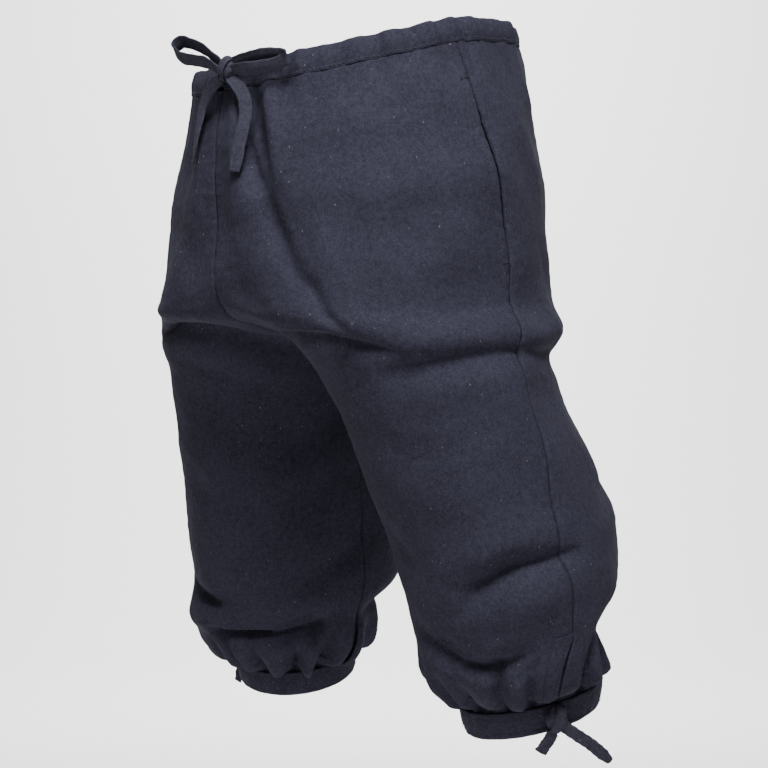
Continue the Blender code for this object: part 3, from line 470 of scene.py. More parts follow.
class BreechesForm:
    """The form of the worn cloth, with the folds, gathers and seams that its panels share."""

    def __init__(self) -> None:
        """Prepare the curves through the sections and the side seam."""
        at = [section.down for section in SECTIONS]
        names = ("drop", "centre_x", "centre_y", "half_width", "front", "back", "pitch", "roll", "skew")
        self.curves = {name: Curve(at, [getattr(s, name) for s in SECTIONS]) for name in names}
        self.seam_curve = Curve([row[0] for row in SIDE_SEAM], [row[1] for row in SIDE_SEAM])
        self.gathers = Gathers()
        self.seams = DrawnSeams()
        self.soft = Rumple(seed=11, count=30, shortest=0.050, longest=0.160, height=0.0011)
        self.fine = Rumple(seed=12, count=36, shortest=0.011, longest=0.032, height=0.00016)

    def read(self, name: str, down: np.ndarray) -> np.ndarray:
        """Read one column of the sections."""
        return self.curves[name](down)

    def seam_angle(self, down: np.ndarray) -> np.ndarray:
        """Angle of the side seam, in radians."""
        return np.radians(self.seam_curve(down))

    def edge_angle(self, down: np.ndarray) -> np.ndarray:
        """Angle where a half ends: at the centre seams, and at the inseam below the crotch.

        Above the crotch it is the arc cosine of the distance to the middle over the half width.

        Args:
            down: place down the garment.

        Returns:
            The angle in radians.
        """
        centre, half_width = self.read("centre_x", down), self.read("half_width", down)
        to_centre = np.arccos(np.clip((SEAM_GAP / 2 - centre) / half_width, -1, 1))
        return np.minimum(to_centre, np.pi - SEAM_GAP / 2 / self.read("front", down))

    def smooth(self, side: int, down: np.ndarray, angle: np.ndarray) -> np.ndarray:
        """The form without folds: a point at an angle on the tilted half oval at down.

        Args:
            side: 1 for the wearer's left, -1 for the right.
            down: place down the garment.
            angle: angle round that side's half, in radians.

        Returns:
            The point for each down and angle.
        """
        depth = np.where((angle < 0) | (np.abs(angle) > np.pi), self.read("front", down),
                         self.read("back", down))
        out = self.read("half_width", down) * np.cos(angle)
        back = depth * np.sin(angle) - self.read("skew", down) * out
        lift = self.read("pitch", down) * back + self.read("roll", down) * out
        flattening = BACK_FLATTENING * np.clip(1 - down / BACK_FLATTENING_END, 0, 1)
        y = self.read("centre_y", down) + back
        z = self.read("drop", down) + lift - flattening * np.maximum(y, 0)
        stance = side * smooth_step((down - STANCE_START) / STANCE_LENGTH)
        x = side * (self.read("centre_x", down) + out + stance * STANCE[0])
        return np.stack(np.broadcast_arrays(x, y + stance * STANCE[1], z + stance * STANCE[2]), -1)

    def outward(self, surface: Callable, side: int, down: np.ndarray, angle: np.ndarray) -> np.ndarray:
        """Normals of a surface: the cross product of its small steps each way.

        Args:
            surface: the function of side, down and angle that gives its points.
            side: 1 for the wearer's left, -1 for the right.
            down: place down the garment.
            angle: angle round that side's half, in radians.

        Returns:
            A unit vector that points out of the cloth, for each down and angle.
        """
        d_down, d_angle = 3e-4, 5e-4
        along_down = surface(side, down + d_down, angle) - surface(side, down - d_down, angle)
        along_angle = surface(side, down, angle + d_angle) - surface(side, down, angle - d_angle)
        return unit(side * np.cross(along_down, along_angle))

    def half_folds(self, side: int, down: np.ndarray, angle: np.ndarray) -> np.ndarray:
        """Sum of one half's folds and creases, each a bell curve of the distance from its run.

        Args:
            side: 1 for the wearer's left, -1 for the right.
            down: place down the garment.
            angle: angle round that side's half, in radians.

        Returns:
            The height along the form's normal.
        """
        radius = (self.read("half_width", down) + self.read("front", down)) / 2
        total = np.zeros(np.broadcast(down, angle).shape)
        for fold in FOLDS + CREASES:
            if fold.side not in (0, side):
                continue
            start, end = np.radians(fold.from_angle), np.radians(fold.to_angle)
            middle = (start + end) / 2
            turned = middle + (angle - middle + np.pi) % (2 * np.pi) - np.pi
            run = np.array([(end - start) * np.mean(radius), (fold.to_down - fold.from_down) * SIDE_LENGTH])
            across = (turned - start) * radius
            along = (down - fold.from_down) * SIDE_LENGTH
            share = np.clip((across * run[0] + along * run[1]) / (run @ run), 0, 1)
            sag = fold.bow * 4 * share * (1 - share)
            off_across, off_along = across - share * run[0], along - share * run[1] - sag
            reach = fold.reach * (1 + fold.lean * np.tanh(off_along / fold.reach))
            fade = FOLD_END_SHARE + (1 - FOLD_END_SHARE) * np.sin(np.pi * share)
            total += fold.rise * fade * bell(np.hypot(off_across, off_along), reach)
        return total * smooth_step((down - FOLDS_START) / FOLDS_FADE)

    def quarter(self, down: np.ndarray, angle: np.ndarray) -> tuple[np.ndarray, np.ndarray, np.ndarray]:
        """Find a point's place on its panel.

        Args:
            down: place down the garment.
            angle: angle round that side's half, in radians.

        Returns:
            -1 for the front panel or 1 for the back, the share across it, and its width there.
        """
        seam, edge = self.seam_angle(down), self.edge_angle(down)
        half = np.where(angle < seam, -1.0, 1.0)
        across = np.clip((angle - seam) / (half * edge - seam), 0, 1)
        width = np.abs(half * edge - seam) * self.read("front", down)
        return half, across, width

    def rise(self, side: int, down: np.ndarray, angle: np.ndarray) -> np.ndarray:
        """All that pushes the cloth out or in: the sum of folds, gathers, sewing and unevenness.

        Args:
            side: 1 for the wearer's left, -1 for the right.
            down: place down the garment.
            angle: angle round that side's half, in radians.

        Returns:
            The height along the form's normal.
        """
        smooth = self.smooth(side, down, angle)
        own_share = 0.5 + 0.5 * smooth_step((side * smooth[..., 0] - SEAM_GAP / 2) / CENTRE_SHARED)
        folds = own_share * self.half_folds(side, down, angle)
        folds = folds + (1 - own_share) * self.half_folds(-side, down, angle)
        half, across, width = self.quarter(down, angle)
        below_casing = smooth_step((down - FOLDS_START) / FOLDS_FADE)
        rumple = self.soft.at(smooth) * below_casing + self.fine.at(smooth)
        gathered = self.gathers.rise(side, down, half, across)
        total = folds + gathered + self.seams.rise(down, half, across, width) + rumple
        at_hem = smooth_step((down - HEM_FADE_START) / (HEM_FADE_END - HEM_FADE_START))
        return total * (1 - (1 - HEM_FADE_KEEP) * at_hem)

    def cloth(self, side: int, down: np.ndarray, angle: np.ndarray) -> np.ndarray:
        """The outer face of the cloth: the smooth form, moved along its normal by the rise.

        Beside the centre seams the rise moves no point sideways.

        Args:
            side: 1 for the wearer's left, -1 for the right.
            down: place down the garment.
            angle: angle round that side's half, in radians.

        Returns:
            The point for each down and angle.
        """
        point = self.smooth(side, down, angle)
        shift = self.outward(self.smooth, side, down, angle) * self.rise(side, down, angle)[..., None]
        shift[..., 0] *= smooth_step((side * point[..., 0] - SEAM_GAP / 2) / CENTRE_CALM)
        return point + shift


# Meshes

def grid_faces(rows: int, columns: int, first: int = 0, round_: bool = False) -> np.ndarray:
    """Quads between the points of a grid numbered row by row from first.

    Args:
        rows: rows of points.
        columns: points in each row.
        first: number of the grid's first point.
        round_: joins the last column to the first.

    Returns:
        An array with four point numbers for each quad.
    """
    across = columns if round_ else columns - 1
    i, j = np.meshgrid(np.arange(rows - 1), np.arange(across), indexing="ij")
    k = (j + 1) % columns
    quads = np.stack([i * columns + j, (i + 1) * columns + j, (i + 1) * columns + k, i * columns + k], -1)
    return first + quads.reshape(-1, 4)


def signed_volume(points: np.ndarray, faces: Sequence[np.ndarray]) -> float:
    """Volume inside closed faces, below 0 where they point in: a sixth of the sum of a . (b x c).

    Args:
        points: one row for each vertex.
        faces: arrays of point numbers, each of faces with the same number of corners.

    Returns:
        The volume in cubic metres.
    """
    total = 0.0
    for group in faces:
        for k in range(1, group.shape[1] - 1):
            a, b, c = points[group[:, 0]], points[group[:, k]], points[group[:, k + 1]]
            total += float((a * np.cross(b, c)).sum())
    return total / 6


def add_mesh(name: str, points: np.ndarray, faces: Sequence[np.ndarray], material: bpy.types.Material,
             uv: np.ndarray | None = None) -> bpy.types.Object:
    """Make a closed mesh object with its faces pointing out.

    Args:
        name: the object's name.
        points: one row for each vertex.
        faces: arrays of point numbers, each of faces with the same number of corners.
        material: its material.
        uv: a pair for each vertex, in metres along the cloth.

    Returns:
        The new object, at the origin.
    """
    points = points.reshape(-1, 3)
    if signed_volume(points, faces) < 0:
        faces = [group[:, ::-1] for group in faces]
    sizes = np.concatenate([np.full(len(group), group.shape[1]) for group in faces])
    corners = np.concatenate([group.ravel() for group in faces])
    mesh = bpy.data.meshes.new(name)
    mesh.vertices.add(len(points))
    mesh.vertices.foreach_set("co", points.astype(np.float32).ravel())
    mesh.loops.add(len(corners))
    mesh.loops.foreach_set("vertex_index", corners.astype(np.int32))
    mesh.polygons.add(len(sizes))
    mesh.polygons.foreach_set("loop_start", np.concatenate([[0], np.cumsum(sizes)[:-1]]).astype(np.int32))
    mesh.update(calc_edges=True)
    mesh.validate()
    mesh.shade_smooth()
    if uv is not None:
        layer = mesh.uv_layers.new(name="cloth")
        layer.data.foreach_set("uv", uv.reshape(-1, 2)[corners].astype(np.float32).ravel())
    mesh.materials.append(material)
    made = bpy.data.objects.new(name, mesh)
    bpy.context.scene.collection.objects.link(made)
    return made


def grid_normals(points: np.ndarray) -> np.ndarray:
    """Normals of a grid of points: the cross product of its steps down and across."""
    return unit(np.cross(np.gradient(points, axis=0), np.gradient(points, axis=1)))


def shell(outer: np.ndarray, inner: np.ndarray) -> tuple[np.ndarray, list[np.ndarray]]:
    """A closed wall between two grids of the same size, with faces round their rims.

    Args:
        outer: the wall's outer grid of points.
        inner: its inner grid.

    Returns:
        The points, and one array of quads.
    """
    rows, columns = outer.shape[:2]
    count = rows * columns
    quads = grid_faces(rows, columns)
    number = np.arange(count).reshape(rows, columns)
    rim = np.concatenate([number[0, :-1], number[:-1, -1], number[-1, :0:-1], number[:0:-1, 0]])
    following = np.roll(rim, -1)
    sides = np.stack([following, rim, rim + count, following + count], -1)
    points = np.concatenate([outer.reshape(-1, 3), inner.reshape(-1, 3)])
    return points, [np.concatenate([quads, quads[:, ::-1] + count, sides[:, ::-1]])]


def ring(columns: np.ndarray) -> tuple[np.ndarray, list[np.ndarray]]:
    """A bar with a closed outline at each column and a flat lid on both ends.

    Args:
        columns: for each column, the points of its outline.

    Returns:
        The points, and an array of quads and one of triangles.
    """
    count, size = columns.shape[:2]
    half = size // 2
    k = np.arange(1, half - 1)
    lid = np.stack([k, k + 1, size - k - 1, size - k], -1)
    tips = np.array([[0, 1, size - 1], [half - 1, half, half + 1]])
    last = (count - 1) * size
    quads = np.concatenate([grid_faces(count, size, round_=True), lid, lid[:, ::-1] + last])
    return columns.reshape(-1, 3), [quads, np.concatenate([tips, tips[:, ::-1] + last])]


def dressed(piece: bpy.types.Object, nodes: Sequence[str] = ()) -> bpy.types.Object:
    """Let a piece ride on the body, in the place of its nodes.

    Args:
        piece: the piece's object.
        nodes: the solids that it stands for.

    Returns:
        The same object.
    """
    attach(piece, BODY)
    if nodes:
        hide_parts(*nodes)
    LOG.info("made %s with %d faces", piece.name, len(piece.data.polygons))
    return piece


# Finishes

def linear(hex_colour: str) -> list[float]:
    """Turn an sRGB hex colour into the linear RGBA that a shader takes."""
    channels = [int(hex_colour[i:i + 2], 16) / 255 for i in (0, 2, 4)]
    return [c / 12.92 if c < 0.04045 else ((c + 0.055) / 1.055) ** 2.4 for c in channels] + [1.0]


def add_node(tree: bpy.types.NodeTree, kind: str, links: dict, **settings: object) -> bpy.types.Node:
    """Add a node.

    Args:
        tree: the material's node tree.
        kind: the node's type.
        links: for each input, by name or number, a socket to link or a value to set.
        **settings: the node's own properties.

    Returns:
        The new node.
    """
    made = tree.nodes.new(kind)
    for name, value in settings.items():
        setattr(made, name, value)
    for name, value in links.items():
        if isinstance(value, bpy.types.NodeSocket):
            tree.links.new(value, made.inputs[name])
        else:
            made.inputs[name].default_value = value
    return made


@dataclass(frozen=True)
class FulledWool:
    """Fulled wool cloth, woven and then felted: matt, softly mottled, with a nap of loose fibres.

    Lengths are in metres. fibre_size is drawn a little coarser than real wool fibre, to show.
    """

    name: str
    dark: str
    light: str
    pale_fleck: str = "8d8f9c"
    red_fleck: str = "7c5348"
    cloud_size: float = 0.045
    felt_size: float = 0.0045
    fibre_size: float = 0.0016
    fleck_spacing: float = 0.0070
    fleck_radius: float = 0.100
    nap_height: float = 0.00050
    roughness: float = 0.92
    specular: float = 0.12
    sheen: float = 0.015
    sheen_roughness: float = 0.50
    sheen_tint: str = "a9afc6"

    def material(self) -> bpy.types.Material:
        """Build the material: three sizes of noise for tone and nap, and scattered pale flecks.

        Returns:
            The material, whose patterns read Object coordinates.
        """
        made = bpy.data.materials.new(self.name)
        made.use_nodes = True
        tree = made.node_tree
        shader = tree.nodes["Principled BSDF"]
        place = add_node(tree, "ShaderNodeTexCoord", {}).outputs["Object"]
        cloud = add_node(tree, "ShaderNodeTexNoise", {"Vector": place, "Scale": 1 / self.cloud_size,
                                                      "Detail": 3.0, "Roughness": 0.55})
        felt = add_node(tree, "ShaderNodeTexNoise", {"Vector": place, "Scale": 1 / self.felt_size,
                                                     "Detail": 3.0, "Roughness": 0.6})
        fibre = add_node(tree, "ShaderNodeTexNoise", {"Vector": place, "Scale": 1 / self.fibre_size,
                                                      "Detail": 2.0, "Roughness": 0.7, "Distortion": 0.6})
        coarse = add_node(tree, "ShaderNodeMath", {0: cloud.outputs[0], 1: 0.3, 2: -0.15},
                          operation="MULTIPLY_ADD")
        middle = add_node(tree, "ShaderNodeMath", {0: felt.outputs[0], 1: 0.9, 2: coarse.outputs[0]},
                          operation="MULTIPLY_ADD")
        tone = add_node(tree, "ShaderNodeMath", {0: fibre.outputs[0], 1: 1.5, 2: middle.outputs[0]},
                        operation="MULTIPLY_ADD")
        share = add_node(tree, "ShaderNodeMapRange", {"Value": tone.outputs[0], "From Min": 0.75,
                                                      "From Max": 1.75})
        cloth = add_node(tree, "ShaderNodeMix", {0: share.outputs[0], 6: linear(self.dark),
                                                 7: linear(self.light)}, data_type="RGBA")
        stretched = add_node(tree, "ShaderNodeMapping", {"Vector": place, "Scale": (1.0, 1.0, 0.55),
                                                         "Rotation": (0.5, 0.3, 0.0)})
        cells = add_node(tree, "ShaderNodeTexVoronoi", {"Vector": stretched.outputs[0],
                                                        "Scale": 1 / self.fleck_spacing})
        near = add_node(tree, "ShaderNodeMapRange", {"Value": cells.outputs["Distance"],
                                                     "From Min": self.fleck_radius, "From Max": 0.02})
        chance = add_node(tree, "ShaderNodeSeparateColor", {"Color": cells.outputs["Color"]})
        pale_ones = add_node(tree, "ShaderNodeMapRange", {"Value": chance.outputs[0], "From Min": 0.35,
                                                          "From Max": 1.0, "To Max": 0.75})
        red_ones = add_node(tree, "ShaderNodeMapRange", {"Value": chance.outputs[1], "From Min": 0.86,
                                                         "From Max": 0.95, "To Max": 0.6})
        pale = add_node(tree, "ShaderNodeMath", {0: near.outputs[0], 1: pale_ones.outputs[0]},
                        operation="MULTIPLY")
        red = add_node(tree, "ShaderNodeMath", {0: near.outputs[0], 1: red_ones.outputs[0]},
                       operation="MULTIPLY")
        with_pale = add_node(tree, "ShaderNodeMix", {0: pale.outputs[0], 6: cloth.outputs[2],
                                                     7: linear(self.pale_fleck)}, data_type="RGBA")
        with_red = add_node(tree, "ShaderNodeMix", {0: red.outputs[0], 6: with_pale.outputs[2],
                                                    7: linear(self.red_fleck)}, data_type="RGBA")
        nap = add_node(tree, "ShaderNodeMath", {0: felt.outputs[0], 1: 0.8, 2: fibre.outputs[0]},
                       operation="MULTIPLY_ADD")
        bump = add_node(tree, "ShaderNodeBump", {"Height": nap.outputs[0], "Distance": self.nap_height,
                                                 "Strength": 0.8})
        tree.links.new(with_red.outputs[2], shader.inputs["Base Color"])
        tree.links.new(bump.outputs[0], shader.inputs["Normal"])
        shader.inputs["Roughness"].default_value = self.roughness
        shader.inputs["Specular IOR Level"].default_value = self.specular
        shader.inputs["Sheen Weight"].default_value = self.sheen
        shader.inputs["Sheen Roughness"].default_value = self.sheen_roughness
        shader.inputs["Sheen Tint"].default_value = linear(self.sheen_tint)
        return made


@dataclass(frozen=True)
class SewingThread:
    """Spun polyester thread: fine, twisted, with a faint sheen."""

    name: str = "dark_sewing_thread"
    dark: str = "202128"
    colour: str = "34353f"
    twist_size: float = 0.0007
    roughness: float = 0.6

    def material(self) -> bpy.types.Material:
        """Build the material: fine noise, the size of the thread's twist, between two tones.

        Returns:
            The material.
        """
        made = bpy.data.materials.new(self.name)
        made.use_nodes = True
        tree = made.node_tree
        shader = tree.nodes["Principled BSDF"]
        place = add_node(tree, "ShaderNodeTexCoord", {}).outputs["Object"]
        twist = add_node(tree, "ShaderNodeTexNoise", {"Vector": place, "Scale": 1 / self.twist_size,
                                                      "Detail": 1.0})
        tone = add_node(tree, "ShaderNodeMix", {0: twist.outputs[0], 6: linear(self.dark),
                                                7: linear(self.colour)}, data_type="RGBA")
        tree.links.new(tone.outputs[2], shader.inputs["Base Color"])
        shader.inputs["Roughness"].default_value = self.roughness
        return made


@dataclass(frozen=True)
class PaintedStudio:
    """Matt emulsion paint on a studio sweep: pale, with barely visible roller texture."""

    name: str = "studio_paint"
    shade: str = "f2f2f1"
    colour: str = "f4f4f3"
    roller_size: float = 0.025
    roughness: float = 0.95

    def material(self) -> bpy.types.Material:
        """Build the material: one pale colour with a faint noise in its tone.

        Returns:
            The material.
        """
        made = bpy.data.materials.new(self.name)
        made.use_nodes = True
        tree = made.node_tree
        shader = tree.nodes["Principled BSDF"]
        place = add_node(tree, "ShaderNodeTexCoord", {}).outputs["Object"]
        roller = add_node(tree, "ShaderNodeTexNoise", {"Vector": place, "Scale": 1 / self.roller_size})
        tone = add_node(tree, "ShaderNodeMix", {0: roller.outputs[0], 6: linear(self.shade),
                                                7: linear(self.colour)}, data_type="RGBA")
        tree.links.new(tone.outputs[2], shader.inputs["Base Color"])
        shader.inputs["Roughness"].default_value = self.roughness
        return made


# Camera and light

def stand(name: str, data: bpy.types.ID, place: Sequence[float],
          target: Sequence[float]) -> bpy.types.Object:
    """Stand a lamp or a camera at a place, so that it faces a target.

    Args:
        name: the object's name.
        data: the lamp's or the camera's data.
        place: where it stands.
        target: what it faces.

    Returns:
        The new object.
    """
    made = bpy.data.objects.new(name, data)
    made.location = place
    made.rotation_mode = "QUATERNION"
    made.rotation_quaternion = (Vector(target) - Vector(place)).to_track_quat("-Z", "Y")
    bpy.context.scene.collection.objects.link(made)
    return made


@dataclass(frozen=True)
class Lamp:
    """A square area light that faces a point, by default the middle of the breeches."""

    name: str
    place: tuple[float, float, float]
    size: float
    power: float
    colour: tuple[float, float, float]
    aim: tuple[float, float, float] = (0.0, 0.0, -0.35)

    def build(self) -> None:
        """Add the light to the scene."""
        data = bpy.data.lights.new(self.name, "AREA")
        data.size = self.size
        data.energy = self.power
        data.color = self.colour
        stand(self.name, data, self.place, self.aim)


@dataclass
class Studio:
    """A pale sweep, a key light above the wearer's left front, weaker lights, and the photograph's view."""

    eye: tuple[float, float, float] = (1.3218, -0.9882, -0.28)
    looks_at: tuple[float, float, float] = (0.0216, 0.0276, -0.345)
    lens: float = 76.9
    floor_level: float = -1.05
    wall_distance: float = 3.2
    sweep_radius: float = 1.2
    half_width: float = 6.0
    turn_steps: int = 24
    surroundings: float = 0.15
    lamps: tuple[Lamp, ...] = (
        Lamp("key_light", (0.97, -0.70, 1.55), 0.7, 75.0, (0.94, 0.98, 1.0)),
        Lamp("fill_light", (2.3, 0.6, 0.5), 1.3, 1.5, (1.0, 0.97, 0.98)),
        Lamp("rim_light", (-1.6, 1.4, 1.6), 1.4, 4.0, (1.0, 1.0, 1.0)),
        Lamp("floor_light", (-1.0, 0.8, 0.9), 2.4, 170.0, (1.0, 1.0, 1.0), aim=(-2.6, 2.0, 0.1)),
    )

    def camera(self) -> None:
        """Place the camera and make it the scene's."""
        data = bpy.data.cameras.new("camera")
        data.lens = self.lens
        data.sensor_width = 36.0
        bpy.context.scene.camera = stand("camera", data, self.eye, self.looks_at)

    def build(self) -> None:
        """Make the floor's sweep, the lights and the pale surroundings.

        The sweep is a straight floor, a quarter circle and a straight wall, carried sideways.
        """
        turn = np.linspace(0, np.pi / 2, self.turn_steps)
        away = np.concatenate([[-self.half_width], self.wall_distance - self.sweep_radius
                               + self.sweep_radius * np.sin(turn), [self.wall_distance]])
        up = np.concatenate([[0.0], self.sweep_radius * (1 - np.cos(turn)), [self.half_width]])
        view = unit(unit(np.array(self.looks_at) - np.array(self.eye)) * [1, 1, 0])
        side = np.array([view[1], -view[0], 0.0])
        line = away[:, None] * view + up[:, None] * [0, 0, 1.0] + [0, 0, self.floor_level]
        grid = np.stack([line - side * self.half_width, line + side * self.half_width], 1)
        mesh = bpy.data.meshes.new("studio_sweep")
        mesh.from_pydata(grid.reshape(-1, 3).tolist(), [], grid_faces(len(line), 2).tolist())
        mesh.shade_smooth()
        mesh.materials.append(PaintedStudio().material())
        sweep = bpy.data.objects.new("studio_sweep", mesh)
        bpy.context.scene.collection.objects.link(sweep)
        for lamp in self.lamps:
            lamp.build()
        world = bpy.data.worlds.new("studio_surroundings")
        world.use_nodes = True
        background = world.node_tree.nodes["Background"]
        background.inputs["Color"].default_value = linear("ffffff")
        background.inputs["Strength"].default_value = self.surroundings
        bpy.context.scene.world = world


# Cords

@dataclass
class Tape:
    """A folded strip of wool, stitched along one edge, that runs along a route.

    A ripple of its width is (share of the width, how fast it goes, where it starts).
    """

    name: str
    route: np.ndarray
    broad: np.ndarray
    shares: np.ndarray
    width: float
    thickness: float = 0.0026
    groove: float = 0.0004
    groove_place: float = 0.30
    groove_reach: float = 0.05
    curl: float = 0.0007
    curl_rate: float = 17.0
    long_ripple: tuple[float, float, float] = (0.035, 61.0, 0.0)
    short_ripple: tuple[float, float, float] = (0.025, 143.0, 1.0)
    corners: int = 28

    def ripple(self, run: np.ndarray, ripple: tuple[float, float, float]) -> np.ndarray:
        """One ripple of the width: its share times the sine of its rate times the run."""
        return ripple[0] * np.sin(run * ripple[1] + ripple[2])

    def rings(self) -> np.ndarray:
        """Closed outlines along the route.

        Each is a flattened oval: x is half the width times cos t to the power 0.7, y half the thickness
        times sin t to the power 0.8. A groove runs beside one edge, where it is stitched, and the strip
        curls a little from side to side along its length.

        Returns:
            For each point of the route, the corners of its outline.
        """
        tangent = unit(np.gradient(self.route, axis=0))
        broad = unit(self.broad - (self.broad * tangent).sum(1, keepdims=True) * tangent)
        thin = np.cross(tangent, broad)
        t = np.linspace(0, 2 * np.pi, self.corners, endpoint=False)
        x = 0.5 * np.sign(np.cos(t)) * np.abs(np.cos(t)) ** 0.7
        y = 0.5 * np.sign(np.sin(t)) * np.abs(np.sin(t)) ** 0.8 * self.thickness
        y = y - np.sign(np.sin(t)) * self.groove * bell(x - self.groove_place, self.groove_reach)
        run = np.linspace(0, 1, len(self.route))
        curl = self.curl * np.sin(run * self.curl_rate)
        wave = 1 + self.ripple(run, self.long_ripple) + self.ripple(run, self.short_ripple)
        across = self.width * (self.shares * wave)[:, None] * x[None, :]
        through = y[None, :] + curl[:, None] * (4 * x[None, :] ** 2 - 0.4)
        return self.route[:, None] + broad[:, None] * across[..., None] + thin[:, None] * through[..., None]

    def build(self, material: bpy.types.Material) -> bpy.types.Object:
        """Make the strip's mesh."""
        points, faces = ring(self.rings())
        return add_mesh(self.name, points, faces, material)


FINE_STEPS = 600            # places where a route's curve is read before it is spaced evenly


def smooth_route(points: Sequence[Sequence[float]], spacing: float) -> np.ndarray:
    """A smooth curve through the points, read every so often along its length.

    Between two points it is the cubic with the slopes found from their neighbours, over the square root
    of the distance between them.

    Args:
        points: the points that it passes through.
        spacing: about how far apart it is read.

    Returns:
        Evenly spaced points along the curve.
    """
    knots = np.array(points, float)
    chord = np.concatenate([[0], np.cumsum(np.linalg.norm(np.diff(knots, axis=0), axis=1) ** 0.5)])
    slope = np.gradient(knots, chord, axis=0)
    fine = np.linspace(0, chord[-1], FINE_STEPS)
    i = np.clip(np.searchsorted(chord, fine, side="right") - 1, 0, len(chord) - 2)
    step = (chord[i + 1] - chord[i])[:, None]
    t = ((fine - chord[i]) / step[:, 0])[:, None]
    curve = ((2 * t ** 3 - 3 * t ** 2 + 1) * knots[i] + (t ** 3 - 2 * t ** 2 + t) * step * slope[i]
             + (3 * t ** 2 - 2 * t ** 3) * knots[i + 1] + (t ** 3 - t ** 2) * step * slope[i + 1])
    travelled = np.concatenate([[0], np.cumsum(np.linalg.norm(np.diff(curve, axis=0), axis=1))])
    stops = np.linspace(0, travelled[-1], max(int(round(travelled[-1] / spacing)), 4) + 1)
    return np.stack([np.interp(stops, travelled, curve[:, axis]) for axis in range(3)], -1)


@dataclass(frozen=True)
class Strand:
    """A stretch of tape: its route, the directions of its width at both ends, and its width's shares."""

    route: tuple[tuple[float, float, float], ...]
    broad_start: tuple[float, float, float]
    broad_end: tuple[float, float, float]
    start_share: float
    end_share: float
    spacing: float = 0.0015
    end_stretch: float = 0.16

    def sample(self) -> tuple[np.ndarray, np.ndarray, np.ndarray]:
        """Read the strand along its length, with its width eased from its ends' shares to full.

        Returns:
            Its points, its width's directions and its width's shares.
        """
        points = smooth_route(self.route, self.spacing)
        share = np.linspace(0, 1, len(points))
        ends = np.array(self.broad_start, float), np.array(self.broad_end, float)
        broad = ends[0] + share[:, None] * (ends[1] - ends[0])
        stops = [0, self.end_stretch, 1 - self.end_stretch, 1]
        width = np.interp(share, stops, [self.start_share, 1, 1, self.end_share])
        return points, broad, width


def joined(strands: Sequence[Strand]) -> tuple[np.ndarray, np.ndarray, np.ndarray]:
    """One continuous line through several strands, whose width never flips from one to the next.

    Args:
        strands: the strands, in their order along the tape.

    Returns:
        The points, the width's directions and the width's shares.
    """
    samples = [strand.sample() for strand in strands]
    points = np.concatenate([sample[0] for sample in samples])
    broad = unit(np.concatenate([sample[1] for sample in samples]))
    width = np.concatenate([sample[2] for sample in samples])
    flips = np.cumprod(np.where((broad[1:] * broad[:-1]).sum(1) < 0, -1.0, 1.0))
    return points, broad * np.concatenate([[1.0], flips])[:, None], width


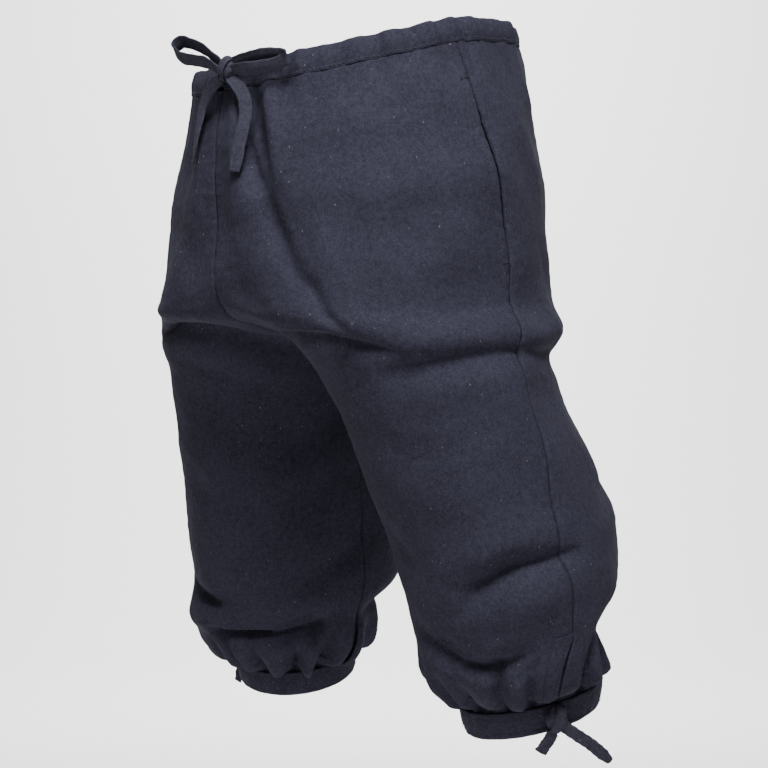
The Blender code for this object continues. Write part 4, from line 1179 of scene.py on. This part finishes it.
@dataclass
class WaistBow:
    """The drawstring's bow: two tapes, each from the casing through the knot, a loop and a tail."""

    width: float = 0.0130
    knot_centre: tuple[float, float, float] = (0.0248, -0.1594, -0.0480)
    knot_axes: tuple[float, float, float] = (0.0108, 0.0072, 0.0112)
    wrap_share: float = 0.8
    left: tuple[Strand, ...] = (
        Strand(((0.0062, -0.1452, -0.0552), (0.0048, -0.1456, -0.0551), (0.0040, -0.1478, -0.0540),
                (0.0062, -0.1513, -0.0522), (0.0125, -0.1532, -0.0505), (0.0190, -0.1524, -0.0500)),
               (0.0, 0.0, 1.0), (0.0, 0.0, 1.0), 0.90, 0.55),
        Strand(((0.0331, -0.1577, -0.0422), (0.0453, -0.1521, -0.0401), (0.0593, -0.1471, -0.0386),
                (0.0748, -0.1411, -0.0386), (0.0905, -0.1376, -0.0430), (0.0817, -0.1436, -0.0486),
                (0.0656, -0.1513, -0.0503), (0.0502, -0.1564, -0.0502), (0.0342, -0.1598, -0.0492)),
               (0.10, -0.45, 0.88), (0.10, -0.45, 0.88), 0.80, 0.80),
        Strand(((0.0301, -0.1599, -0.0554), (0.0397, -0.1568, -0.0650), (0.0465, -0.1547, -0.0775),
                (0.0483, -0.1548, -0.0904), (0.0483, -0.1582, -0.1053), (0.0468, -0.1611, -0.1209),
                (0.0446, -0.1646, -0.1447)),
               (0.80, 0.58, 0.05), (0.80, 0.58, 0.05), 0.85, 0.80),
    )
    right: tuple[Strand, ...] = (
        Strand(((-0.0062, -0.1452, -0.0552), (-0.0048, -0.1456, -0.0551), (-0.0028, -0.1480, -0.0540),
                (-0.0010, -0.1530, -0.0520), (0.0050, -0.1568, -0.0503), (0.0143, -0.1570, -0.0482)),
               (0.0, 0.0, 1.0), (0.0, 0.0, 1.0), 0.90, 0.50),
        Strand(((0.0155, -0.1601, -0.0413), (0.0043, -0.1620, -0.0345), (-0.0066, -0.1640, -0.0268),
                (-0.0219, -0.1678, -0.0196), (-0.0346, -0.1733, -0.0166), (-0.0388, -0.1774, -0.0231),
                (-0.0298, -0.1762, -0.0317), (-0.0152, -0.1708, -0.0358), (-0.0022, -0.1657, -0.0392),
                (0.0148, -0.1623, -0.0486)),
               (0.27, -0.50, 0.80), (0.27, -0.50, 0.80), 0.85, 0.85),
        Strand(((0.0194, -0.1620, -0.0553), (0.0065, -0.1625, -0.0604), (-0.0075, -0.1614, -0.0686),
                (-0.0162, -0.1611, -0.0789), (-0.0197, -0.1623, -0.0919), (-0.0227, -0.1639, -0.1078),
                (-0.0263, -0.1651, -0.1312)),
               (0.34, 0.37, -0.87), (0.85, -0.45, -0.10), 0.80, 0.55),
    )

    def build(self, material: bpy.types.Material) -> None:
        """Args:
            material: the tapes' material.
        """
        knot = TiedKnot("waist_bow_knot", np.array(self.knot_centre), np.eye(3), np.array(self.knot_axes),
                        self.width * self.wrap_share).build(material)
        dressed(knot, ["bow_knot"])
        for side, strands in ((1, self.left), (-1, self.right)):
            word = SIDE_WORDS[side]
            points, broad, shares = joined(strands)
            tape = Tape("waist_tie_" + word, points, broad, shares, self.width).build(material)
            dressed(tape, ["bow_lead_" + word, "bow_loop_" + word, "bow_tail_" + word])


@dataclass
class TiedKnot:
    """A tight knot: a rounded core with soft creases, and a strip that wraps over it aslant.

    The axes are rows: across, out and up. The half sizes and the strip's width are in metres.
    """

    name: str
    centre: np.ndarray
    axes: np.ndarray
    half_sizes: np.ndarray
    width: float
    core_share: float = 0.93
    core_rows: int = 20
    core_columns: int = 32
    pole: float = 0.06
    waves: tuple[float, float] = (0.07, 0.06)
    tilt: float = 0.45
    strip_fit: tuple[float, float] = (0.98, 1.02)
    strip_steps: int = 48
    strip_corners: int = 16
    strip_half_thickness: float = 0.0011

    def core(self) -> tuple[np.ndarray, list[np.ndarray]]:
        """Make the core: an ellipsoid swollen and pinched by two waves round it, with a lid on each pole.

        Returns:
            Its points, and an array of quads and one of triangles.
        """
        polar = np.linspace(self.pole, np.pi - self.pole, self.core_rows)[:, None]
        around = np.linspace(0, 2 * np.pi, self.core_columns, endpoint=False)[None, :]
        swollen, pinched = self.waves
        swell = 1 + swollen * np.sin(3 * around + 2 * polar) - pinched * np.cos(5 * polar + around)
        ball = np.stack([np.sin(polar) * np.cos(around), np.sin(polar) * np.sin(around),
                         np.cos(polar) * np.ones_like(around)], -1)
        return ring(ball * swell[..., None] * self.half_sizes * self.core_share)

    def strip(self) -> tuple[np.ndarray, np.ndarray]:
        """Make the strip: a flat oval carried round an ellipse about the core, tilted from upright.

        Returns:
            Its points and its quads, numbered from 0.
        """
        turn = np.linspace(0, 2 * np.pi, self.strip_steps, endpoint=False)
        up = np.array([np.sin(self.tilt), 0.0, np.cos(self.tilt)])
        side = np.array([np.cos(self.tilt), 0.0, -np.sin(self.tilt)])
        high, deep = self.strip_fit
        path = (np.outer(np.cos(turn) * self.half_sizes[2] * high, up)
                + np.outer(np.sin(turn) * self.half_sizes[1] * deep, [0, 1.0, 0]))
        outwards = unit(path)
        t = np.linspace(0, 2 * np.pi, self.strip_corners, endpoint=False)
        across = 0.5 * self.width * np.sign(np.cos(t)) * np.abs(np.cos(t)) ** 0.6
        through = self.strip_half_thickness * np.sin(t)
        points = path[:, None] + across[None, :, None] * side + through[None, :, None] * outwards[:, None]
        quads = grid_faces(self.strip_steps + 1, self.strip_corners, round_=True)
        return points.reshape(-1, 3), quads % (self.strip_steps * self.strip_corners)

    def build(self, material: bpy.types.Material) -> bpy.types.Object:
        """Make the knot's mesh in its place.

        Args:
            material: its material.

        Returns:
            The knot's object.
        """
        core, (quads, triangles) = self.core()
        strip, strip_quads = self.strip()
        placed = self.centre + np.concatenate([core, strip]) @ self.axes
        faces = [np.concatenate([quads, strip_quads + len(core)]), triangles]
        return add_mesh(self.name, placed, faces, material)


@dataclass
class KneeTie:
    """The tie at each knee: a knot on the band's opening, one long tail and one short."""

    form: BreechesForm
    width: float = 0.0118
    knot_axes: tuple[float, float, float] = (0.0110, 0.0072, 0.0132)
    down: float = 0.978
    lift: float = 0.0077
    long_tail: tuple[tuple[float, float, float], ...] = (
        (0.0055, 0.0025, -0.0085), (0.0135, 0.006, -0.017), (0.024, 0.009, -0.028),
        (0.034, 0.010, -0.041), (0.042, 0.009, -0.053))
    through_knot: tuple[tuple[float, float, float], ...] = ((-0.0040, -0.0045, 0.0010), (0.0, 0.0, 0.0))
    long_broad: tuple[float, float, float] = (0.70, 0.10, 0.68)
    long_shares: tuple[float, float] = (0.80, 0.60)
    short_tail: tuple[tuple[float, float, float], ...] = (
        (-0.0048, 0.0019, -0.0096), (-0.010, 0.003, -0.0155), (-0.0155, 0.003, -0.021),
        (-0.021, 0.002, -0.027))
    short_broad: tuple[float, float, float] = (0.75, 0.10, -0.65)
    short_shares: tuple[float, float] = (0.60, 1.10)
    wrap_share: float = 0.85

    def knot_frame(self, side: int) -> tuple[np.ndarray, np.ndarray]:
        """Find the knot's place on the band.

        Args:
            side: 1 for the wearer's left, -1 for the right.

        Returns:
            Its centre, and its directions: back along the band, out from it, and up.
        """
        down = np.array([self.down])
        angle = self.form.seam_angle(down)
        out = self.form.outward(self.form.smooth, side, down, angle)[0]
        place = self.form.smooth(side, down, angle)[0]
        a_little = 0.01
        back = unit(self.form.smooth(side, down, angle + a_little)[0] - place)
        return place + out * self.lift, np.array([back, out, side * np.cross(out, back)])

    def tail(self, name: str, place: tuple[np.ndarray, np.ndarray], route: Sequence[Sequence[float]],
             broad: tuple[float, float, float], shares: tuple[float, float],
             material: bpy.types.Material) -> tuple[bpy.types.Object, np.ndarray]:
        """Make one tail.

        Args:
            name: its object's name.
            place: the knot's centre and directions.
            route: its points in the knot's directions, from the knot's centre.
            broad: the direction of its width, in the same directions.
            shares: its width's shares at its start and its end.
            material: its material.

        Returns:
            The tail's object and its points.
        """
        centre, axes = place
        direction = tuple(np.array(broad) @ axes)
        placed = tuple(tuple(centre + np.array(point) @ axes) for point in route)
        points, directions, widths = joined([Strand(placed, direction, direction, *shares)])
        return Tape(name, points, directions, widths, self.width).build(material), points

    def build(self, side: int, material: bpy.types.Material) -> None:
        """Args:
            side: 1 for the wearer's left, -1 for the right.
            material: the ties' material.
        """
        word = SIDE_WORDS[side]
        place = self.knot_frame(side)
        knot = TiedKnot("knee_tie_knot_" + word, *place, np.array(self.knot_axes),
                        self.width * self.wrap_share).build(material)
        dressed(knot, ["knee_knot_" + word])
        short, _ = self.tail("knee_tie_end_" + word, place, self.short_tail, self.short_broad,
                             self.short_shares, material)
        dressed(short, ["knee_tie_short_" + word])
        tape, points = self.tail("knee_tie_" + word, place, self.through_knot + self.long_tail,
                                 self.long_broad, self.long_shares, material)
        dressed(tape, ["knee_tie_long_" + word])


# Cloth pieces

@dataclass
class ClothPanels:
    """The four main pieces: a front and a back for each side, each from the casing to the knee band.

    A stretch of rows is (from, to, count), in places down the garment.
    """

    form: BreechesForm
    columns: int = 104
    stretches: tuple[tuple[float, float, int], ...] = (
        (PANEL_TOP, 0.15, 50), (0.15, 0.38, 80), (0.38, 0.52, 75), (0.52, 0.84, 105), (0.84, PANEL_HEM, 80))
    pocket_half_gape: float = 0.0017
    slit_half_gape: float = 0.0022
    slit_closes_above_band: float = 0.008
    flat: tuple[float, float] = (0.34, 0.66)
    flat_area: float = 0.212
    pieces: dict = field(default_factory=dict)

    def rows(self) -> np.ndarray:
        """Places of the rows, closest over the crotch and over the knee gathers."""
        return np.concatenate([np.linspace(a, b, n, endpoint=b == PANEL_HEM) for a, b, n in self.stretches])

    def half_gap(self, down: np.ndarray) -> np.ndarray:
        """Half width of the side seam's gap, wider by half a sine along the pocket's mouth and the slit.

        Args:
            down: place down the garment.

        Returns:
            The half width in metres.
        """
        pocket = np.clip((down - POCKET_TOP) / (POCKET_END - POCKET_TOP), 0, 1)
        slit_length = BAND_TOP - self.slit_closes_above_band - SLIT_TOP
        slit = np.clip((down - SLIT_TOP) / slit_length, 0, 1)
        return (SEAM_GAP / 2 + self.pocket_half_gape * np.sin(np.pi * pocket)
                + self.slit_half_gape * np.sin(np.pi * slit) ** 0.7)

    def angles(self, half: int, down: np.ndarray, shares: np.ndarray) -> np.ndarray:
        """Angles across a panel, from the side seam to the centre seam or inseam."""
        start = self.form.seam_angle(down) + half * self.half_gap(down) / self.form.read("front", down)
        return start + (half * self.form.edge_angle(down) - start) * shares

    def grid(self, side: int, half: int) -> tuple[np.ndarray, np.ndarray, np.ndarray]:
        """Read one panel's outer face from the form.

        Args:
            side: 1 for the wearer's left, -1 for the right.
            half: FRONT or BACK.

        Returns:
            The places of its rows, the angles of its points, and the points.
        """
        down = self.rows()[:, None]
        angle = self.angles(half, down, np.linspace(0, 1, self.columns + 1)[None, :])
        outer = self.form.cloth(side, down, angle)
        outer[..., 0] = side * np.maximum(side * outer[..., 0], SEAM_GAP / 2)
        return down, angle, outer

    def build(self, material: bpy.types.Material) -> None:
        """Make the four panels: each a wall between its outer face and the same face moved inwards.

        Args:
            material: the cloth's material.
        """
        for side, word in SIDE_WORDS.items():
            for half, place in ((FRONT, "front"), (BACK, "back")):
                down, angle, outer = self.grid(side, half)
                inner = outer - side * half * grid_normals(outer) * WALL
                inner[..., 0] = side * np.maximum(side * inner[..., 0], SEAM_GAP / 2)
                points, faces = shell(outer, inner)
                name = f"{place}_cloth_{word}"
                along = np.broadcast_to(down * SIDE_LENGTH, angle.shape)
                uv = np.stack([angle * self.form.read("front", down), along], -1)
                piece = add_mesh(name, points, faces, material, np.concatenate([uv, uv]))
                self.pieces[side, half] = dressed(piece, [f"{place}_{word}"])


@dataclass
class WaistCasing:
    """The folded channel round the waist, stitched down along its lower edge."""

    form: BreechesForm
    columns: int = 120
    half_slit: float = 0.008
    slit_from_share: float = 0.9
    puckers: int = 9
    pucker_depth: float = 0.0009
    flat: tuple[float, float] = (1.0, 0.056)

    # (down, lift) round the section: up the outer face, over the top, down inside and up the channel
    outline: tuple[tuple[float, float], ...] = (
        (0.0362, 0.0002), (0.0345, 0.0010), (0.0318, 0.0007), (0.0290, 0.0012), (0.0240, 0.0020),
        (0.0180, 0.0022), (0.0120, 0.0018), (0.0060, 0.0012), (0.0025, 0.0005), (0.0000, -0.0010),
        (-0.0010, -0.0026), (0.0000, -0.0044), (0.0030, -0.0058), (0.0100, -0.0064), (0.0200, -0.0068),
        (0.0300, -0.0068), (0.0355, -0.0066), (0.0362, -0.0060), (0.0355, -0.0054), (0.0200, -0.0052),
        (0.0080, -0.0046), (0.0065, -0.0034), (0.0065, -0.0022), (0.0080, -0.0012), (0.0200, -0.0008),
        (0.0362, -0.0012))

    def stations(self) -> list[tuple[int, int, float]]:
        """Side, half and share of each column, from the front's middle round the back to the front."""
        shares = np.linspace(0, 1, self.columns + 1)
        return ([(1, FRONT, u) for u in shares[::-1]] + [(1, BACK, u) for u in shares[1:]]
                + [(-1, BACK, u) for u in shares[::-1][1:]] + [(-1, FRONT, u) for u in shares[1:]])

    def pucker(self, side: int, half: int, share: float, downs: np.ndarray) -> np.ndarray:
        """Small upright waves where the drawstring draws the channel up, deepest near its top.

        Args:
            side: 1 for the wearer's left, -1 for the right.
            half: FRONT or BACK.
            share: share of that quarter's width, from the side seam.
            downs: places down the garment.

        Returns:
            The waves' height at each place: the sum of two sines along the waist.
        """
        wave = np.sin(2 * np.pi * self.puckers * share + 2.4 * np.sin(7 * share + side) + half)
        wave += 0.5 * np.sin(4.7 * np.pi * self.puckers * share + side)
        return self.pucker_depth * wave * (1 - 0.6 * np.clip(downs / CASING_HEM, 0, 1))

    def column(self, side: int, half: int, share: float) -> np.ndarray:
        """Outline of the section at one place round the waist, lifted from the cloth along its normal.

        Args:
            side: 1 for the wearer's left, -1 for the right.
            half: FRONT or BACK.
            share: share of that quarter's width, from the side seam.

        Returns:
            The outline's points.
        """
        downs = np.array([point[0] for point in self.outline])
        lifts = np.array([point[1] for point in self.outline])
        seam, edge = self.form.seam_angle(downs), self.form.edge_angle(downs)
        angles = seam + share * (half * edge - seam)
        if half == FRONT:
            slit = self.half_slit / self.form.read("half_width", downs)
            near_slit = (share - self.slit_from_share) / (1 - self.slit_from_share)
            angles = angles + slit * smooth_step(np.full(len(downs), near_slit))
        lifts = lifts + self.pucker(side, half, share, downs)
        points = self.form.cloth(side, downs, angles)
        points = points + self.form.outward(self.form.smooth, side, downs, angles) * lifts[:, None]
        if half == BACK and share == 1:
            points[:, 0] = 0.0
        return points

    def build(self, material: bpy.types.Material) -> None:
        """Args:
            material: the cloth's material.
        """
        columns = np.array([self.column(*station) for station in self.stations()])
        points, faces = ring(columns)
        piece = dressed(add_mesh("casing_cloth", points, faces, material), ["waist_casing"])


@dataclass
class KneeBand:
    """The doubled band that holds the gathers below the knee."""

    form: BreechesForm
    columns: int = 260
    half_gap: float = 0.0007
    level: float = 0.978
    puckers: int = 27
    pucker_depth: float = 0.00035
    pucker_fade: float = 0.05
    flat: tuple[float, float] = (0.41, 0.034)

    # (down, lift) round the section, with the channel between its layers that holds the gathered cloth
    outline: tuple[tuple[float, float], ...] = (
        (0.9597, 0.0016), (0.9605, 0.0024), (0.9630, 0.0028), (0.9655, 0.0022), (0.9680, 0.0027),
        (0.9740, 0.0028), (0.9820, 0.0026), (0.9880, 0.0022), (0.9905, 0.0014), (0.9935, 0.0018),
        (0.9980, 0.0010), (1.0000, -0.0005), (0.9985, -0.0020), (0.9940, -0.0026), (0.9850, -0.0032),
        (0.9700, -0.0036), (0.9615, -0.0036), (0.9597, -0.0032), (0.9612, -0.0027), (0.9650, -0.0025),
        (0.9680, -0.0018), (0.9684, -0.0006), (0.9670, 0.0004), (0.9620, 0.0010))

    def build(self, side: int, material: bpy.types.Material) -> None:
        """Make one band: the outline carried round the leg, with faint puckers from the gathers.

        Args:
            side: 1 for the wearer's left, -1 for the right.
            material: the cloth's material.
        """
        downs = np.array([point[0] for point in self.outline])[None, :]
        lifts = np.array([point[1] for point in self.outline])[None, :]
        seam = self.form.seam_angle(downs)
        gap = self.half_gap / self.form.read("half_width", downs)
        share = np.linspace(0, 1, self.columns + 1)[:, None]
        angles = seam + gap + share * (2 * np.pi - 2 * gap)
        angles = np.where(angles > np.pi, angles - 2 * np.pi, angles)
        at_level = np.full_like(angles, self.level)
        out = self.form.outward(self.form.smooth, side, at_level, angles)
        wave = np.sin(2 * np.pi * self.puckers * share + 2 * np.sin(9 * share))
        pucker = self.pucker_depth * wave * (1 - (downs - BAND_TOP) / self.pucker_fade)
        place = self.form.smooth(side, downs, angles)
        place = place + out * (lifts + pucker + self.form.fine.at(place))[..., None]
        word = SIDE_WORDS[side]
        points, faces = ring(place)
        piece = dressed(add_mesh("knee_band_cloth_" + word, points, faces, material),
                        ["knee_band_" + word])


@dataclass
class SideDetails:
    """The small pieces of the side seam: the pocket bag's upper layer and the slit's turned hem."""

    panels: ClothPanels
    pocket_from: float = 0.100
    pocket_to: float = 0.424
    pocket_front_share: float = 1 / 3
    pocket_back_share: float = 1 / 12
    pocket_behind: float = 0.0012
    pocket_wall: float = 0.0011
    hem_end: float = 0.9555
    hem_lift: float = 0.0014
    hem_edge_share: float = 0.55
    hem_clear: float = 0.0002
    hem_width_share: float = 0.060
    pocket_flat: tuple[float, float] = (0.105, 0.215)

    def pocket(self, side: int, material: bpy.types.Material) -> None:
        """Make the layer that hangs behind the mouth, from in front of it to a little behind.

        It is a wall at an even depth inside the outer face of both panels.

        Args:
            side: 1 for the wearer's left, -1 for the right.
            material: the pocket's material, a darker copy of the wool whose colour paints the shade inside
                the mouth.
        """
        form = self.panels.form
        down = np.linspace(self.pocket_from, self.pocket_to, 90)[:, None]
        front_shares = np.linspace(0, self.pocket_front_share, 24)[None, :]
        back_shares = np.linspace(0, self.pocket_back_share, 8)[None, :]
        front = self.panels.angles(FRONT, down, front_shares)[:, ::-1]
        back = self.panels.angles(BACK, down, back_shares)
        angle = np.concatenate([front, back], 1)
        outer = form.cloth(side, down, angle)
        normal = form.outward(form.smooth, side, down, angle)
        depth = WALL + self.pocket_behind
        points, faces = shell(outer - normal * depth, outer - normal * (depth + self.pocket_wall))
        word = SIDE_WORDS[side]
        piece = dressed(add_mesh("pocket_cloth_" + word, points, faces, material),
                        ["pocket_" + word])

    def slit_hem(self, side: int, material: bpy.types.Material) -> bpy.types.Object:
        """Make the narrow strip turned back on the front edge of the slit, crowned at its middle.

        Its height over the cloth is the lift times a share that rises with the root of a sine.

        Args:
            side: 1 for the wearer's left, -1 for the right.
            material: the cloth's material.

        Returns:
            The strip's object.
        """
        form = self.panels.form
        down = np.linspace(SLIT_TOP, self.hem_end, 90)[:, None]
        share = np.linspace(0, 1, 15)[None, :]
        angle = self.panels.angles(FRONT, down, share * self.hem_width_share)
        outer = form.cloth(side, down, angle)
        normal = form.outward(form.smooth, side, down, angle)
        swell = self.hem_edge_share + (1 - self.hem_edge_share) * np.sin(np.pi * share) ** 0.5
        crown = self.hem_lift * swell * np.ones_like(down)
        points, faces = shell(outer + normal * crown[..., None], outer + normal * self.hem_clear)
        word = SIDE_WORDS[side]
        return dressed(add_mesh("slit_hem_cloth_" + word, points, faces, material),
                       ["slit_hem_" + word])


@dataclass
class Topstitching:
    """Rows of thread along the casing, the pockets, the slit hems and the knee bands.

    A level is (down, lift over the cloth). A row beside the side seam lies in front of it by its offset.
    """

    form: BreechesForm
    stitch: float = 0.0030
    space: float = 0.0011
    thread: float = 0.00042
    lean: float = 0.05
    seed: int = 5
    casing_level: tuple[float, float] = (0.0318, 0.0012)
    casing_from_middle: float = 0.06
    pocket_offset: float = 0.0095
    pocket_lift: float = 0.0002
    tack_length: float = 0.0100
    tack_rows_apart: float = 0.0018
    tack_lift: float = 0.0006
    hem_offset: float = 0.0085
    hem_from: float = 0.003
    hem_to: float = 0.953
    hem_lift: float = 0.0016
    band_levels: tuple[tuple[float, float], ...] = ((0.9655, 0.0024), (0.9905, 0.0016))
    band_seam_level: float = 0.978
    band_opening: float = 0.06

    def row(self, side: int, down: np.ndarray, angle: np.ndarray, lift: float) -> np.ndarray:
        """Stitches at even distances along a line over the cloth.

        Args:
            side: 1 for the wearer's left, -1 for the right.
            down: places down the garment along the line.
            angle: angles along the line.
            lift: how far the line lies above the cloth.

        Returns:
            An array with a centre, a direction along and a normal for each stitch.
        """
        points = self.form.cloth(side, down, angle)
        normals = self.form.outward(self.form.smooth, side, down, angle)
        points = points + normals * lift
        travelled = np.concatenate([[0], np.cumsum(np.linalg.norm(np.diff(points, axis=0), axis=1))])
        middles = np.arange(self.stitch / 2, travelled[-1], self.stitch + self.space)
        place, normal, ahead = (np.stack([np.interp(middles + step, travelled, values[:, axis])
                                          for axis in range(3)], -1)
                                for values, step in ((points, 0), (normals, 0), (points, self.stitch / 2)))
        return np.stack([place, unit(ahead - place), unit(normal)], 1)

    def beside_seam(self, side: int, down: np.ndarray, offset: float | np.ndarray,
                    lift: float) -> np.ndarray:
        """A line in front of the side seam: the seam's angle less the offset over the form's depth.

        Args:
            side: 1 for the wearer's left, -1 for the right.
            down: places down the garment along the line.
            offset: how far the line lies in front of the seam.
            lift: how far it lies above the cloth.

        Returns:
            Its stitches, as row gives them.
        """
        return self.row(side, down, self.form.seam_angle(down) - offset / self.form.read("front", down), lift)

    def lines(self) -> list[np.ndarray]:
        """Lay every stitched line of the breeches.

        Returns:
            The stitches of each line, as row gives them.
        """
        found = []
        for side in (1, -1):
            half_turn = np.linspace(-np.pi / 2 + self.casing_from_middle, np.pi / 2, 700)
            found.append(self.row(side, np.full(700, self.casing_level[0]), half_turn, self.casing_level[1]))
            down = np.linspace(POCKET_TOP, POCKET_END, 300)
            found.append(self.beside_seam(side, down, self.pocket_offset, self.pocket_lift))
            for end, inwards in ((POCKET_TOP, 1), (POCKET_END, -1)):
                for level in (end, end + inwards * self.tack_rows_apart):
                    across = np.linspace(self.tack_length, 0.0, 60)
                    found.append(self.beside_seam(side, np.full(60, level), across, self.tack_lift))
            down = np.linspace(SLIT_TOP + self.hem_from, self.hem_to, 120)
            found.append(self.beside_seam(side, down, self.hem_offset, self.hem_lift))
            round_leg = np.linspace(self.band_opening, 2 * np.pi - self.band_opening, 900)
            turn = self.form.seam_angle(np.full(900, self.band_seam_level)) + round_leg
            turn = np.where(turn > np.pi, turn - 2 * np.pi, turn)
            for level, lift in self.band_levels:
                found.append(self.row(side, np.full(900, level), turn, lift))
        return found

    def build(self, material: bpy.types.Material) -> None:
        """Make all stitches as one mesh: each a short spindle, a little uneven in its direction.

        A spindle's girth is the root of 1 minus the square of the place along it.

        Args:
            material: the thread's material.
        """
        frames = np.concatenate(self.lines())
        draw = np.random.default_rng(self.seed)
        place, along, normal = frames[:, 0], frames[:, 1], frames[:, 2]
        sideways = unit(np.cross(normal, along))
        along = unit(along + sideways * draw.normal(0, self.lean, (len(along), 1)))
        sideways = unit(np.cross(normal, along))
        stations, corners_round = 5, 6
        t, a = np.linspace(-1, 1, stations), np.linspace(0, 2 * np.pi, corners_round, endpoint=False)
        girth = np.sqrt(np.maximum(1 - t ** 2, 0.04))
        lengthways = np.broadcast_to(t[:, None] * self.stitch / 2, (stations, corners_round))
        local, (quads, triangles) = ring(np.stack([lengthways, self.thread * girth[:, None] * np.cos(a),
                                                   self.thread * girth[:, None] * np.sin(a)], -1))
        axes = np.stack([along, sideways, normal], 1)
        points = place[:, None] + np.einsum("pk,nkc->npc", local, axes)
        first = (np.arange(len(place)) * len(local))[:, None, None]
        faces = [(quads[None] + first).reshape(-1, 4), (triangles[None] + first).reshape(-1, 3)]
        dressed(add_mesh("topstitching", points, faces, material))


def dress_drawstring_ends(material: bpy.types.Material) -> None:
    """Give the two drawstring ends inside the casing the tape's finish; their shape stays.

    Args:
        material: the tapes' material.
    """
    for word in SIDE_WORDS.values():
        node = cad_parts["drawstring_end_" + word]
        node.data.materials.clear()
        node.data.materials.append(material)


def corners(box: tuple[Vector, Vector]) -> list[list[float]]:
    """A box as plain lists of numbers."""
    return [list(corner) for corner in box]


def main() -> None:
    """Build the studio, the ties, the cloth and the sewing, in that order."""
    logging.basicConfig(level=logging.INFO)
    studio = Studio()
    studio.camera()
    wool = FulledWool("fulled_wool", dark="26242e", light="424050").material()
    tape_wool = FulledWool("fulled_wool_tape", dark="2d2c35", light="4b4958").material()
    # The pocket bag's wool is a darker copy of the panels' wool: painted shade for the dark inside of the
    # pocket's mouth.
    pocket_wool = FulledWool("fulled_wool_pocket_painted_shade", dark="1c1c23", light="2b2b35").material()
    form = BreechesForm()
    WaistBow().build(tape_wool)
    for side in (1, -1):
        KneeTie(form).build(side, tape_wool)
    panels = ClothPanels(form)
    panels.build(wool)
    WaistCasing(form).build(wool)
    details = SideDetails(panels)
    for side in (1, -1):
        KneeBand(form).build(side, wool)
        details.pocket(side, pocket_wool)
        details.slit_hem(side, wool)
    Topstitching(form).build(SewingThread().material())
    dress_drawstring_ends(tape_wool)
    studio.build()


if __name__ == "__main__":
    main()
